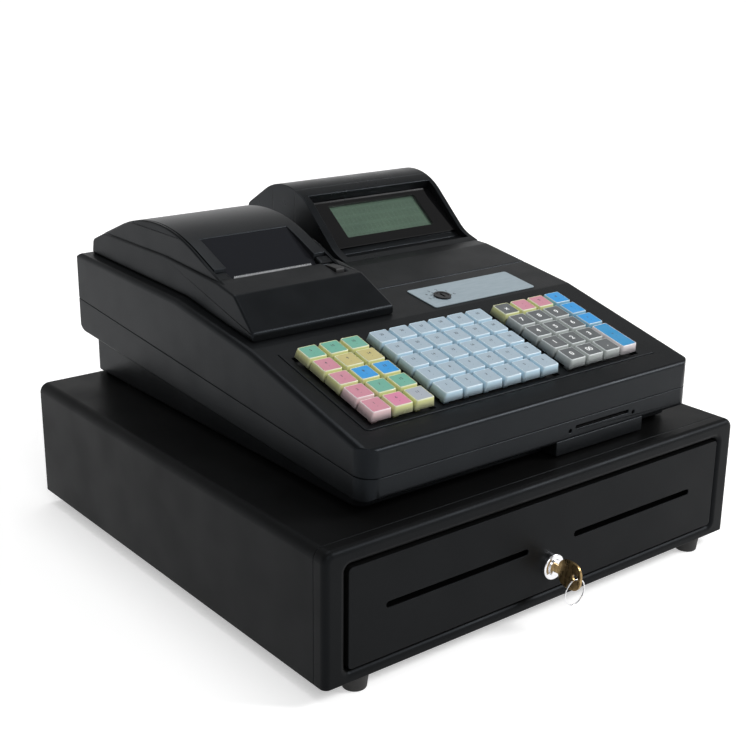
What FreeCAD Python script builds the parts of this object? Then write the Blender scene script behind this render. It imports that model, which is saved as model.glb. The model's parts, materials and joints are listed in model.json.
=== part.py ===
import FreeCAD, Part
import math
import os
import re
import Sketcher
from FreeCAD import Placement, Rotation, Vector

# Ticket register: an electronic register with keyboard, printer and display,
# standing on a steel cash drawer with a key lock.
# Millimetres. X runs to the operator's right, the front faces -Y, Z is up.
# The origin is the middle of the whole object's footprint, on the floor.
# Places named ..._y and ..._z count from the middle of the cabinet's bottom.

document = FreeCAD.newDocument("ticket_register")
sheet = document.addObject("Spreadsheet::Sheet", "Sizes")
places = document.addObject("App::VarSet", "Places")

SIZES = (
    # drawer cabinet
    ("cabinet_width", 410, "outside width of the steel cabinet"),
    ("cabinet_depth", 410, "outside depth of the steel cabinet"),
    ("cabinet_height", 98, "outside height without the feet"),
    ("steel", 1.2, "sheet of cover and base"),
    ("cabinet_edge", 8, "rounding of the cover's long top edges"),
    ("frame_depth", 12, "depth of the front frame"),
    ("frame_edge", 5, "rounding of the frame's front edges"),
    ("opening_half", 187, "half the width of the drawer opening"),
    ("opening_bottom_z", 8, "lower edge of the drawer opening"),
    ("opening_top_z", 84.5, "upper edge of the drawer opening"),
    ("opening_corner", 4, "corner rounding of the drawer opening"),
    ("foot_height", 12, "height of the rubber feet"),
    ("foot_radius", 10, "radius of a foot at its top"),
    ("foot_taper", 1.5, "how much narrower a foot is at the floor"),
    ("foot_side_inset", 33, "foot centres from the cabinet's sides"),
    ("foot_front_inset", 11, "front feet: centres from the front"),
    ("foot_rear_inset", 26, "rear feet: centres from the rear"),
    ("cable_hole_radius", 8, "hole in the rear wall for the drawer's lead"),
    ("cable_hole_x", 120, "place of that hole"),
    ("cable_hole_z", 60, "height of that hole"),
    # slides
    ("running_gap", 0.3, "air between sliding faces"),
    ("rail_sheet", 1.5, "sheet of the slides"),
    ("rail_height", 22, "height of the moving slide member"),
    ("rail_bottom_z", 30, "lower edge of the moving slide member"),
    ("rail_width", 9, "width of the moving slide member"),
    ("rail_overlap", 6, "how far the fixed member reaches round it"),
    ("rail_front_setback", 15, "slides start this far behind the cabinet's front"),
    ("rail_length", 360, "length of the fixed members"),
    ("rail_short", 25, "how much shorter the moving members are"),
    ("rail_flange", 15, "height of the flange on the cabinet's side"),
    # drawer
    ("panel_gap", 1.5, "gap round the drawer front"),
    ("panel_corner", 3, "corner rounding of the drawer front"),
    ("panel_sheet", 1.5, "sheet of the drawer front"),
    ("panel_fold", 10, "folded edge of the drawer front"),
    ("slot_inner_x", 23.5, "media slots: inner end"),
    ("slot_outer_x", 154.3, "media slots: outer end"),
    ("slot_z", 46.8, "media slots: middle height"),
    ("slot_height", 4.6, "media slots: height"),
    ("pan_half_width", 172, "half the width of the drawer pan"),
    ("pan_sheet", 1, "sheet of the pan"),
    ("pan_bottom_z", 9, "underside of the pan"),
    ("pan_height", 62, "height of the pan's walls"),
    ("pan_rear_room", 55, "cabinet depth not taken by the pan"),
    ("tray_gap", 1, "air between tray and pan"),
    ("tray_front_space", 22, "space for cheques in front of the tray"),
    ("tray_rear_space", 61, "space for papers behind the tray"),
    ("tray_height", 36, "height of the cash tray"),
    ("tray_wall", 2, "walls and floor of the cash tray"),
    ("coin_length", 72, "length of a coin cup"),
    ("coin_corner", 8, "corner rounding of a coin cup"),
    ("note_corner", 3, "corner rounding of a note bay"),
    ("rod_radius", 2, "clip rod"),
    ("rod_rear_space", 8, "rod behind the note bays' rear end"),
    ("rod_drop", 4.5, "rod below the tray's top edge"),
    ("pivot_gap", 0.1, "radial air round pins and rods"),
    ("clip_hub", 4, "radius of a clip's hub"),
    ("clip_width", 34, "width of a note clip"),
    ("clip_arm_width", 26, "width of a clip's arm"),
    ("clip_reach", 104, "reach of a clip's arm"),
    ("clip_thick", 2.4, "thickness of a clip's arm"),
    ("clip_toe", 12, "flat toe at the end of a clip"),
    # striker, latch and solenoid behind the drawer
    ("striker_radius", 2.2, "striker pin on the pan"),
    ("striker_reach", 9, "pin behind the pan's rear wall"),
    ("striker_tab", 14, "width of the striker's tab"),
    ("striker_height", 8, "height of the pin above its tab"),
    ("latch_thick", 2, "latch plate"),
    ("latch_z", 12, "underside of the latch plate"),
    ("latch_arm", 8, "width of the latch's arm"),
    ("latch_hook", 3, "length of the hook's finger"),
    ("latch_room", 2.3, "released hook in front of the striker"),
    ("latch_pivot_x", -13, "pivot of the latch"),
    ("latch_pivot_back", 26, "pivot behind the pan's rear wall"),
    ("latch_tail", 17, "tail of the latch towards the solenoid"),
    ("latch_pin", 2.5, "radius of the latch's pivot pin"),
    ("latch_head", 1.2, "head on the latch's pivot pin"),
    ("solenoid_length", 34, "release solenoid"),
    ("solenoid_width", 20, "release solenoid"),
    ("solenoid_height", 22, "release solenoid"),
    ("plunger_radius", 3, "plunger of the solenoid"),
    ("plunger_reach", 5, "how far the plunger stands out"),
    ("bracket_sheet", 2, "bracket under solenoid and latch"),
    # drawer lock and key
    ("lock_z", 29, "height of the lock's axis"),
    ("lock_flange_radius", 10, "flange of the lock"),
    ("lock_flange_depth", 4.5, "how far the flange stands out"),
    ("lock_flange_edge", 1.4, "bevel of the flange"),
    ("lock_barrel_radius", 8, "barrel of the lock"),
    ("lock_nut_radius", 11, "nut behind the drawer front"),
    ("lock_nut_depth", 3, "nut behind the drawer front"),
    ("lock_plug_radius", 6, "turning plug"),
    ("lock_plug_proud", 1, "plug in front of the flange"),
    ("cam_length", 25, "from the lock's axis to the cam's tip"),
    ("cam_width", 10, "cam"),
    ("cam_thick", 2, "cam"),
    ("cam_gap", 0.6, "air between the front frame and the cam"),
    ("key_thick", 2, "sheet of the key"),
    ("key_blade", 6.6, "height of the key's blade"),
    ("key_insert", 14, "blade inside the plug"),
    ("key_neck", 3, "blade between plug and bow"),
    ("key_bow", 22, "bow of the key"),
    ("key_bow_corner", 8.5, "corner rounding of the bow"),
    ("key_hole_radius", 2.4, "hole in the bow"),
    ("key_hole_edge", 5.5, "hole's centre from the bow's outer edge"),
    ("ring_radius", 10, "split ring, to the wire's middle"),
    ("ring_wire", 0.8, "radius of the ring's wire"),
    # register case
    ("wall", 2.5, "walls of the plastic mouldings"),
    ("case_left_x", -155, "left side of the case"),
    ("case_width", 332, "width of the case"),
    ("case_front_y", -181, "front of the case"),
    ("case_depth", 407, "depth of the case"),
    ("case_front_corner", 14, "upright front corners of the case"),
    ("case_rear_corner", 4, "upright rear corners of the case"),
    ("case_front_edge", 4, "rounding of the front top edge"),
    ("case_side_edge", 5, "rounding of the side top edges"),
    ("case_rear_edge", 9, "rounding of the rear top edge"),
    ("case_bottom_edge", 12, "rounding of the rear bottom edge"),
    ("case_rim_edge", 4, "rounding of the front bottom edge"),
    ("ledge_front_z", 109, "underside of the overhang at the front"),
    ("ledge_rise", 24.6, "rise of that underside to the rear"),
    ("seam_front_z", 125.5, "seam of the two case halves at the front"),
    ("seam_rise", 36.5, "rise of that seam to the rear"),
    ("deck_y", -100, "reference line of the keyboard deck"),
    ("deck_z", 167.5, "deck height on that line"),
    ("deck_slope", 0.258, "slope of the keyboard deck"),
    ("break_y", -45, "where the keyboard deck ends"),
    ("mid_slope", 0.15, "slope of the deck behind the keyboard"),
    ("knee_y", 58, "where the rear deck starts"),
    ("rear_slope", 0.031, "slope of the rear deck"),
    ("bend_rounding", 25, "soft bends between the decks"),
    ("pedestal_left_x", -148, "left side of the recessed base"),
    ("pedestal_width", 316, "width of the recessed base"),
    ("pedestal_front_y", -166, "front of the recessed base"),
    ("pedestal_depth", 377, "depth of the recessed base"),
    ("pedestal_corner", 8, "corners of the recessed base"),
    ("pedestal_lip", 22, "width of the base's floor lip"),
    ("pad_height", 2, "rubber pads under the register"),
    ("pad_radius", 8, "rubber pads under the register"),
    ("pad_inset", 12, "pads from the base's edges"),
    ("groove_width", 0.9, "joint lines on the decks"),
    ("groove_depth", 0.9, "joint lines on the decks"),
    ("border_left_x", -138, "line round the keyboard: left"),
    ("border_right_x", 152, "line round the keyboard: right end"),
    ("border_front_v", -63, "line round the keyboard: front"),
    ("border_rear_v", 44, "line round the keyboard: rear end"),
    ("border_corner", 4, "line round the keyboard: corner"),
    ("front_seam_y", 10, "joint line behind the label plate"),
    ("hood_seam_y", 78, "joint line in front of the display hood"),
    ("deck_seam_left_x", 8, "left end of both joint lines"),
    # card slot in the front
    ("card_left_x", 25, "block under the front band: left"),
    ("card_width", 95, "block under the front band: width"),
    ("card_slot_left_x", 44.6, "card slot: left end"),
    ("card_slot_width", 58.4, "card slot: width"),
    ("card_slot_z", 119, "card slot: middle height"),
    ("card_slot_height", 2.2, "card slot: height"),
    ("card_screw_radius", 1.4, "screw holes beside the card slot"),
    ("card_screw_out", 5.6, "screw holes outside the slot's ends"),
    ("card_screw_drop", 1.8, "screw holes below the slot"),
    ("card_reader_depth", 30, "reader behind the slot"),
    ("card_reader_height", 5, "reader behind the slot"),
    # keyboard
    ("pitch_x", 19.25, "key pitch across"),
    ("pitch_v", 18.85, "key pitch up the slope"),
    ("left_block_x", -120.8, "first column of the left keys"),
    ("item_block_x", -55.7, "first column of the middle keys"),
    ("number_block_x", 70.2, "first column of the right keys"),
    ("back_row_v", 27, "rear row of keys, from the reference line"),
    ("key_base", 18.3, "width of a key at its base"),
    ("key_top", 15.2, "width of a key at its top"),
    ("key_height", 8.9, "key top above the deck"),
    ("key_sink", 1, "key skirt below the deck's face"),
    ("key_travel", 3, "travel of a key"),
    ("key_gap", 0.7, "air round a block of keys"),
    ("stem_side", 5, "square stem of a key"),
    ("guide_thick", 1.8, "key frame"),
    ("guide_margin", 5, "key frame beyond the keys"),
    ("stem_stand", 0.9, "stem below the key frame"),
    ("mat_gap", 0.1, "air under a pressed stem"),
    ("mat_thick", 1, "rubber mat"),
    ("board_thick", 1.6, "circuit boards"),
    ("post_radius", 2.2, "posts between key frame and board"),
    # label plate and mode lock
    ("plate_left_x", 26, "label plate: left"),
    ("plate_width", 111, "label plate: width"),
    ("plate_front_v", 4, "label plate: front edge behind the bend"),
    ("plate_length", 37.4, "label plate: length up the slope"),
    ("plate_thick", 0.8, "label plate"),
    ("plate_corner", 2, "label plate"),
    ("mode_x", 46.8, "mode lock: place across"),
    ("mode_v", 20.2, "mode lock: place up the slope"),
    ("mode_radius", 7.3, "mode lock: ring"),
    ("mode_proud", 2.2, "mode lock: ring above the deck"),
    ("mode_plug_radius", 5.2, "mode lock: plug"),
    ("mode_plug_drop", 0.4, "mode lock: plug below its ring"),
    ("mode_depth", 22, "mode lock: body below the deck"),
    ("keyway_width", 1.8, "slot for a key"),
    ("keyway_length", 6.8, "slot for a key"),
    ("keyway_depth", 12, "slot for a key"),
    # display hood
    ("hood_left_x", 22, "left side of the hood"),
    ("hood_side_inset", 2, "hood's right side from the case's"),
    ("hood_foot_y", 72, "front foot of the hood"),
    ("hood_brow_y", 90, "where the hood's front turns up"),
    ("hood_brow_z", 203.4, "where the hood's front turns up"),
    ("hood_brow_round", 40, "rounding there"),
    ("hood_top_y", 158.7, "where the hood's front and rear slopes would meet"),
    ("hood_top_z", 265, "where the hood's front and rear slopes would meet"),
    ("hood_top_round", 57.8, "rounding there"),
    ("hood_tail_y", 224, "rear end of the hood"),
    ("hood_tail_z", 225.4, "rear end of the hood"),
    ("hood_tail_round", 8, "rounding there"),
    ("lens_low_y", 95, "lens plane: lower point"),
    ("lens_low_z", 203, "lens plane: lower point"),
    ("lens_slope", 0.767, "lens plane: slope"),
    ("lens_rim_left", 8, "hood rim left of the lens"),
    ("lens_rim_right", 5, "hood rim right of the lens"),
    ("lens_start", -14, "recess start below the lens, up the slope"),
    ("lens_length", 56, "lens up the slope"),
    ("lens_thick", 2.5, "lens"),
    ("lens_fit", 0.2, "air at the lens's ends"),
    ("lens_deck_gap", 1.4, "lens clear of the deck, up the slope"),
    ("recess_lean", 5, "how far the recess's upper wall leans back"),
    ("recess_rise", 14, "height of the recess's upper wall"),
    ("lcd_left_x", 49.3, "display window: left"),
    ("lcd_width", 99.2, "display window: width"),
    ("lcd_low", 12, "display window: lower edge up the slope"),
    ("lcd_length", 37.8, "display window: length up the slope"),
    ("lcd_thick", 3, "display glass"),
    ("lcd_border", 4, "display board beyond the glass"),
    ("rear_lens_side", 16, "rear lens from the hood's sides"),
    ("rear_lens_thick", 2, "rear lens"),
    ("rear_lens_top", 46.5, "rear lens from where the slopes would meet"),
    ("rear_lens_length", 24, "rear lens down the slope"),
    # printer block
    ("block_left_x", -145, "left side of the printer block"),
    ("block_right_x", -13, "right side of the printer block"),
    ("block_front_y", -36, "front of the printer block"),
    ("block_brow_z", 190, "front lower edge of the printer block"),
    ("block_ridge_y", -8.5, "ridge over the front slope"),
    ("block_ridge_z", 212.5, "ridge over the front slope"),
    ("ridge_round", 5, "rounding of the ridge"),
    ("brow_round", 3.5, "rounding of the front lower edge"),
    ("shoulder_front_y", 16, "shoulder: front point"),
    ("shoulder_front_z", 217, "shoulder: front point"),
    ("shoulder_y", 95, "shoulder: middle point"),
    ("shoulder_z", 222.5, "shoulder: height from there"),
    ("block_tail_y", 216, "rear end of the printer block"),
    ("block_tail_z", 214, "rear end of the printer block"),
    ("block_tail_round", 5, "rounding there"),
    ("shoulder_rear_y", 196, "rear end of the shoulder"),
    ("left_lean", 0.1, "lean of the left flank"),
    ("right_lean", 0.45, "lean of the right flank"),
    ("arch_left_x", -140, "arch: left rim's outside"),
    ("arch_right_x", -30, "arch: right rim's outside"),
    ("rim_width", 2.7, "width of a rim"),
    ("arch_front_z", 211.5, "arch: height at its front end"),
    ("arch_peak_y", 108.9, "arch: where its two slopes meet"),
    ("arch_peak_z", 258.3, "arch: where its two slopes meet"),
    ("arch_round", 150, "radius over the arch"),
    ("arch_rear_y", 201, "arch: rear end"),
    ("arch_rear_z", 221, "arch: rear end"),
    ("well_front_y", 20, "well under the cover: front"),
    ("well_rear_y", 206, "well under the cover: rear"),
    ("well_z", 211, "well under the cover: floor"),
    ("cover_gap", 0.5, "air between cover and rims"),
    ("cover_wall", 2.2, "wall of the cover"),
    ("cover_front_y", 28, "front end of the cover's side strips"),
    ("cover_rear_y", 200, "rear end of the cover"),
    ("cover_skirt_z", 213, "lower edge of the cover's skirt"),
    ("hinge_y", 196.5, "cover hinge"),
    ("hinge_z", 216.2, "cover hinge"),
    ("hinge_pin", 1.7, "cover hinge: pin radius"),
    ("notch_left_x", -126, "notch in the cover: left"),
    ("notch_right_x", -44, "notch in the cover: right"),
    ("notch_top_y", 66, "notch in the cover: upper edge"),
    ("apron_low_y", 23, "sunk apron: lower edge"),
    ("apron_low_z", 215, "sunk apron: lower edge"),
    ("apron_high_z", 238.3, "sunk apron: upper edge"),
    ("apron_wall", 1.6, "sunk apron: sheet"),
    ("bay_left_x", -125, "printer bay: left"),
    ("bay_right_x", -45, "printer bay: right"),
    ("bay_rear_y", 84, "printer bay: rear"),
    ("bay_front_y", 24, "printer bay: front"),
    ("tear_left_x", -124, "tear bar: left"),
    ("tear_right_x", -52, "tear bar: right"),
    ("tear_thick", 0.8, "tear bar"),
    ("tear_height", 6.4, "tear bar"),
    ("tear_top_z", 218.4, "tear bar: top edge"),
    ("latch_left_x", -42, "cover latch: left side"),
    ("latch_lever_width", 8, "cover latch"),
    ("latch_front_y", 0.5, "cover latch: front"),
    ("latch_length", 16, "cover latch"),
    ("latch_base_z", 207, "cover latch: underside"),
    ("latch_height", 9.6, "cover latch"),
    ("latch_corner", 2, "cover latch"),
    ("latch_gap", 0.6, "air beside the cover latch"),
    ("latch_sweep", 4.5, "room under the cover latch"),
    ("latch_axle", 1.3, "cover latch: axle radius"),
    ("latch_axle_reach", 1.6, "cover latch: axle beyond its sides"),
    # paper and print mechanism
    ("roll_y", 120, "paper roll: axis"),
    ("roll_z", 204.5, "paper roll: axis"),
    ("roll_radius", 27.7, "paper roll"),
    ("roll_core", 6, "paper roll: hole"),
    ("roll_width", 58, "paper roll"),
    ("trough_side", 1.2, "air beside the paper roll"),
    ("trough_wall", 2.5, "walls of the paper trough"),
    ("platen_y", 36, "platen: axis"),
    ("platen_z", 203.5, "platen: axis"),
    ("platen_radius", 6, "platen: rubber"),
    ("platen_shaft", 2, "platen: shaft"),
    ("platen_length", 60, "platen: rubber"),
    ("platen_gear", 8.5, "platen: gear radius"),
    ("gear_width", 3, "platen: gear width"),
    ("side_plate", 2, "side plates of the mechanism"),
    ("mechanism_floor_z", 186, "underside of the mechanism"),
    ("mechanism_front_y", 27, "front of the mechanism"),
    ("plate_length_y", 32, "length of a side plate"),
    ("shaft_gap", 0.05, "radial air round the platen's shaft"),
    ("head_gap", 0.4, "air between print head and platen"),
    ("head_depth", 6, "print head"),
    ("motor_radius", 8, "feed motor"),
    ("motor_length", 18, "feed motor"),
    # electronics
    ("floor_plate", 1.2, "steel bottom plate"),
    ("standoff_height", 6, "standoffs of the main board"),
    ("standoff_radius", 3, "standoffs of the main board"),
    ("main_left_x", -120, "main board"),
    ("main_width", 150, "main board"),
    ("main_front_y", -70, "main board"),
    ("main_length", 150, "main board"),
    ("standoff_inset", 6, "standoffs from the board's edges"),
    ("chip_side", 24, "processor"),
    ("chip_height", 3, "processor"),
    ("supply_left_x", 60, "power supply"),
    ("supply_width", 70, "power supply"),
    ("supply_front_y", 90, "power supply"),
    ("supply_length", 80, "power supply"),
    ("supply_height", 36, "power supply"),
    ("inlet_x", 128, "power inlet: middle"),
    ("inlet_width", 20, "power inlet"),
    ("inlet_height", 12, "power inlet"),
    ("inlet_z", 149, "rear sockets: height of their middle"),
    ("socket_pitch", 26, "from one rear socket to the next"),
    ("socket_width", 15, "data sockets"),
    ("socket_height", 12, "data sockets"),
    ("socket_depth", 16, "rear sockets"),
    ("socket_wall", 1.6, "walls of the rear sockets"),
)

names = set()
for index, (name, size, note) in enumerate(SIZES):
    row = str(index + 1)
    sheet.set("A" + row, name)
    sheet.set("B" + row, str(size))
    sheet.set("C" + row, note)
    sheet.setAlias("B" + row, name)
    names.add(name)
document.recompute()

WORD = re.compile(r"[a-z][a-z_]*")
derived = set()


def bound(text):
    """Expression text with each size's owner written before it."""
    def owner(match):
        word = match.group()
        if word in derived:
            return "Places." + word
        if word in names:
            return "Sizes." + word
        return word
    return WORD.sub(owner, text)


def place(name, text):
    """A derived place, bound to the sizes that it follows."""
    expression = bound(text)
    places.addProperty("App::PropertyFloat", name)
    places.setExpression(name, expression)
    derived.add(name)


def value(text):
    """What an expression gives now."""
    return float(places.evalExpression(bound(text)))


place("half_width", "cabinet_width / 2")
place("front_y", "-cabinet_depth / 2")
place("rear_y", "cabinet_depth / 2")
place("inside_half", "half_width - steel")
place("panel_half", "opening_half - panel_gap")
place("panel_bottom_z", "opening_bottom_z + panel_gap")
place("panel_top_z", "opening_top_z - panel_gap")
place("lock_face_y", "front_y - lock_flange_depth - lock_plug_proud")
place("bow_rear_y", "lock_face_y - key_neck")
place("bow_front_y", "bow_rear_y - key_bow")
place("key_hole_y", "bow_front_y + key_hole_edge")
place("case_right_x", "case_left_x + case_width")
place("case_rear_y", "case_front_y + case_depth")
place("shift_y", "-(bow_front_y + case_rear_y) / 2")
place("deck_tilt", "atan(deck_slope)")
place("mid_tilt", "atan(mid_slope)")
place("tail_tilt", "atan(rear_slope)")
place("deck_front_z", "deck_z + deck_slope * (case_front_y - deck_y)")
place("break_z", "deck_z + deck_slope * (break_y - deck_y)")
place("knee_z", "break_z + mid_slope * (knee_y - break_y)")
place("case_back_z", "knee_z + rear_slope * (case_rear_y - knee_y)")
place("seam_rear_z", "seam_front_z + seam_rise")
place("ledge_rear_z", "ledge_front_z + ledge_rise")
place("pedestal_right_x", "pedestal_left_x + pedestal_width")
place("pedestal_rear_y", "pedestal_front_y + pedestal_depth")
place("pedestal_z", "cabinet_height + pad_height")
place("pan_front_y", "front_y + panel_fold")
place("pan_rear_y", "pan_front_y + cabinet_depth - pan_rear_room")
place("pan_top_z", "pan_bottom_z + pan_height")
place("tray_half", "pan_half_width - pan_sheet - tray_gap")
place("tray_front_y", "pan_front_y + pan_sheet + tray_front_space")
place("tray_rear_y", "pan_rear_y - pan_sheet - tray_rear_space")
place("tray_bottom_z", "pan_bottom_z + pan_sheet")
place("tray_top_z", "tray_bottom_z + tray_height")
place("note_front_y", "tray_front_y + tray_wall + coin_length + tray_wall")
place("rod_y", "tray_rear_y - tray_wall - rod_rear_space")
place("rod_z", "tray_top_z - rod_drop")
place("rail_top_z", "rail_bottom_z + rail_height")
place("rail_front_y", "front_y + rail_front_setback")
place("rail_rear_y", "rail_front_y + rail_length")
place("hood_right_x", "case_right_x - hood_side_inset")
place("lens_tilt", "atan(lens_slope)")
place("lens_left_x", "hood_left_x + lens_rim_left")
place("lens_right_x", "hood_right_x - lens_rim_right")
place("guide_top_w", "-key_sink - key_travel - running_gap")
place("guide_low_w", "guide_top_w - guide_thick")
place("stem_low_w", "guide_low_w - stem_stand")
place("mat_top_w", "stem_low_w - key_travel - mat_gap")
place("keyboard_top_w", "mat_top_w - mat_thick")
place("front_row_v", "back_row_v - 4 * pitch_v")
place("guide_front_v", "front_row_v - pitch_v / 2 - guide_margin")
place("guide_rear_v", "back_row_v + pitch_v / 2 + guide_margin")
place("guide_left_x", "left_block_x - pitch_x / 2 - guide_margin")
place("guide_right_x", "number_block_x + 3.5 * pitch_x + guide_margin")
place("pin_y", "pan_rear_y + striker_reach")
place("latch_pivot_y", "pan_rear_y + latch_pivot_back")
place("inner_face_y", "case_front_y + wall")
place("floor_top_z", "pedestal_z + wall + floor_plate")
place("rear_lean", "atan((hood_top_z - hood_tail_z) / (hood_tail_y - hood_top_y))")
place("hood_level_foot", "knee_z + rear_slope * (hood_foot_y - knee_y)")
place("hood_level_tail", "knee_z + rear_slope * (hood_tail_y - knee_y)")
place("arch_front_slope", "(arch_peak_z - arch_front_z) / arch_peak_y")
place("arch_rear_slope", "(arch_peak_z - arch_rear_z) / (arch_rear_y - arch_peak_y)")
place("well_left_x", "arch_left_x + rim_width")
place("well_right_x", "arch_right_x - rim_width")
place("paper_x", "(tear_left_x + tear_right_x) / 2")
place("trough_radius", "roll_radius + running_gap")
place("plate_out", "platen_length / 2 + head_gap + side_plate")
place("latch_pivot_line_y", "latch_front_y + latch_length * 0.7")
place("latch_pivot_line_z", "latch_base_z + latch_height * 0.3")
document.recompute()

# A frame is where a piece's own axes stand: its line on Y, its height and its
# tilt about X. "unit" stands at the cabinet's bottom.
FRAMES = {
    "unit": ("shift_y", "foot_height", None),
    "deck": ("deck_y + shift_y", "deck_z + foot_height", "deck_tilt"),
    "mid": ("break_y + shift_y", "break_z + foot_height", "mid_tilt"),
    "tail": ("knee_y + shift_y", "knee_z + foot_height", "tail_tilt"),
    "lens": ("lens_low_y + shift_y", "lens_low_z + foot_height", "lens_tilt"),
    "rear": ("hood_top_y + shift_y", "hood_top_z + foot_height", "-rear_lean"),
}


def stand(thing, frame):
    """Put a document object into one of the frames."""
    base_y, base_z, tilt = FRAMES[frame]
    if tilt:
        thing.Placement = Placement(Vector(), Rotation(Vector(1, 0, 0), value(tilt)))
        thing.setExpression("Placement.Rotation.Angle", bound(tilt))
    thing.setExpression("Placement.Base.y", bound(base_y))
    thing.setExpression("Placement.Base.z", bound(base_z))


def circle(u, v, radius):
    return ("circle", u, v, radius)


def rectangle(u_low, u_high, v_low, v_high, corner=None):
    corners = ((u_low, v_low), (u_high, v_low), (u_high, v_high), (u_low, v_high))
    return [(u, v, corner) for u, v in corners]


def slot(u_low, u_high, middle, height):
    """A slot with round ends."""
    low = "(%s) - (%s) / 2" % (middle, height)
    high = "(%s) + (%s) / 2" % (middle, height)
    return rectangle(u_low, u_high, low, high, "(%s) * 0.499" % height)


class Drawing:
    """Lines, helper points and bound constraints of one sketch."""

    def __init__(self):
        self.lines = []
        self.helpers = []
        self.rules = []

    def rule(self, kind, *ends, text=None):
        self.rules.append((kind, ends, text))

    def hold(self, line, end, u, v):
        """Fix a point at two bound coordinates."""
        self.rule("DistanceX", -1, 1, line, end, text=u)
        self.rule("DistanceY", -1, 1, line, end, text=v)

    def line(self, geometry):
        self.lines.append(geometry)
        return len(self.lines) - 1

    def circle(self, u, v, radius):
        centre = Vector(value(u), value(v), 0)
        ring = self.line(Part.Circle(centre, Vector(0, 0, 1), value(radius)))
        self.hold(ring, 3, u, v)
        self.rule("Radius", ring, text=radius)

    def outline(self, corners):
        """A closed outline. A corner's third item rounds it with that radius."""
        corners = [tuple(corner) + (None,) * (3 - len(corner)) for corner in corners]
        count = len(corners)
        points = [Vector(value(u), value(v), 0) for u, v, _ in corners]
        enter, leave = list(points), list(points)
        bends = [None] * count
        for i, (_, _, radius) in enumerate(corners):
            if radius is None:
                continue
            before = (points[i - 1] - points[i]).normalize()
            after = (points[(i + 1) % count] - points[i]).normalize()
            half = before.getAngle(after) / 2
            size = value(radius)
            enter[i] = points[i] + before * (size / math.tan(half))
            leave[i] = points[i] + after * (size / math.tan(half))
            middle = points[i] + (before + after).normalize() * (size / math.sin(half))
            forward = before.cross(after).z < 0
            first, last = (enter[i], leave[i]) if forward else (leave[i], enter[i])
            ring = Part.Circle(middle, Vector(0, 0, 1), size)
            arc = Part.ArcOfCircle(ring, ring.parameter(first), ring.parameter(last))
            bends[i] = (self.line(arc), 1 if forward else 2)
        sides = [self.line(Part.LineSegment(leave[i], enter[(i + 1) % count]))
                 for i in range(count)]
        for i, (u, v, radius) in enumerate(corners):
            previous, following = sides[i - 1], sides[i]
            if radius is None:
                self.rule("Coincident", previous, 2, following, 1)
                self.hold(following, 1, u, v)
                continue
            bend, start = bends[i]
            self.rule("Tangent", previous, 2, bend, start)
            self.rule("Tangent", bend, 3 - start, following, 1)
            self.rule("Radius", bend, text=radius)
            self.helpers.append(Part.Point(points[i]))
            corner = -len(self.helpers)
            self.rule("helper", corner, u, v, previous, following)

    def place_in(self, sketch):
        sketch.addGeometry(self.lines, False)
        if self.helpers:
            sketch.addGeometry(self.helpers, True)
        rules = []
        for kind, ends, text in self.rules:
            if kind != "helper":
                rules.append((kind, ends, text))
                continue
            corner, u, v, previous, following = ends
            point = len(self.lines) - corner - 1
            rules.append(("DistanceX", (-1, 1, point, 1), u))
            rules.append(("DistanceY", (-1, 1, point, 1), v))
            rules.append(("PointOnObject", (point, 1, previous), None))
            rules.append(("PointOnObject", (point, 1, following), None))
        constraints = []
        for kind, ends, text in rules:
            given = ends if text is None else ends + (value(text),)
            constraints.append(Sketcher.Constraint(kind, *given))
        sketch.addConstraint(constraints)
        for index, (kind, ends, text) in enumerate(rules):
            if text is not None:
                sketch.setExpression("Constraints[%d]" % index, bound(text))


def sketch_on(body, plane, height, loops):
    """A sketch on one of the body's own planes, moved along the plane's normal."""
    sketch = body.newObject("Sketcher::SketchObject", body.Name + "_sketch")
    role = plane + "_Plane"
    origin = [part for part in body.Origin.OriginFeatures if part.Role == role][0]
    sketch.AttachmentSupport = [(origin, "")]
    sketch.MapMode = "FlatFace"
    sketch.setExpression("AttachmentOffset.Base.z", bound(height))
    drawing = Drawing()
    for loop in loops:
        if loop[0] == "circle":
            drawing.circle(*loop[1:])
        else:
            drawing.outline(loop)
    drawing.place_in(sketch)
    return sketch


def start_and_end(plane, low, high, adding):
    """Height of the sketch. The XZ plane's normal points to -Y."""
    if plane == "XZ":
        return "-(%s)" % (high if adding else low)
    return low if adding else high


def add(body, plane, loops, low, high):
    """Pad the loops from low to high along the axis across the plane."""
    sketch = sketch_on(body, plane, start_and_end(plane, low, high, True), loops)
    pad = body.newObject("PartDesign::Pad", body.Name + "_pad")
    pad.Profile = sketch
    pad.setExpression("Length", bound("(%s) - (%s)" % (high, low)))
    return body


def remove(body, plane, loops, low, high):
    """Pocket the loops between low and high along the axis across the plane."""
    sketch = sketch_on(body, plane, start_and_end(plane, low, high, False), loops)
    pocket = body.newObject("PartDesign::Pocket", body.Name + "_pocket")
    pocket.Profile = sketch
    pocket.setExpression("Length", bound("(%s) - (%s)" % (high, low)))
    return body


def new_body(label, frame="unit"):
    body = document.addObject("PartDesign::Body", label)
    body.Label = label
    stand(body, frame)
    return body


def prism(label, plane, loops, low, high, frame="unit"):
    return add(new_body(label, frame), plane, loops, low, high)


def block(label, x_low, x_high, y_low, y_high, z_low, z_high, frame="unit", corner=None):
    loops = [rectangle(x_low, x_high, y_low, y_high, corner)]
    return prism(label, "XY", loops, z_low, z_high, frame)


def soften(body, radius, pick):
    """Round the edges of the body that the pick chooses, by their middle."""
    document.recompute()
    tip = body.Tip
    chosen = []
    for index, edge in enumerate(tip.Shape.Edges):
        if pick(edge):
            chosen.append("Edge%d" % (index + 1))
    fillet = body.newObject("PartDesign::Fillet", body.Name + "_fillet")
    fillet.Base = (tip, chosen)
    fillet.setExpression("Radius", bound(radius))
    return body


def fuse(label, *shapes):
    joined = document.addObject("Part::MultiFuse", label)
    joined.Label = label
    joined.Shapes = list(shapes)
    return joined


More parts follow.
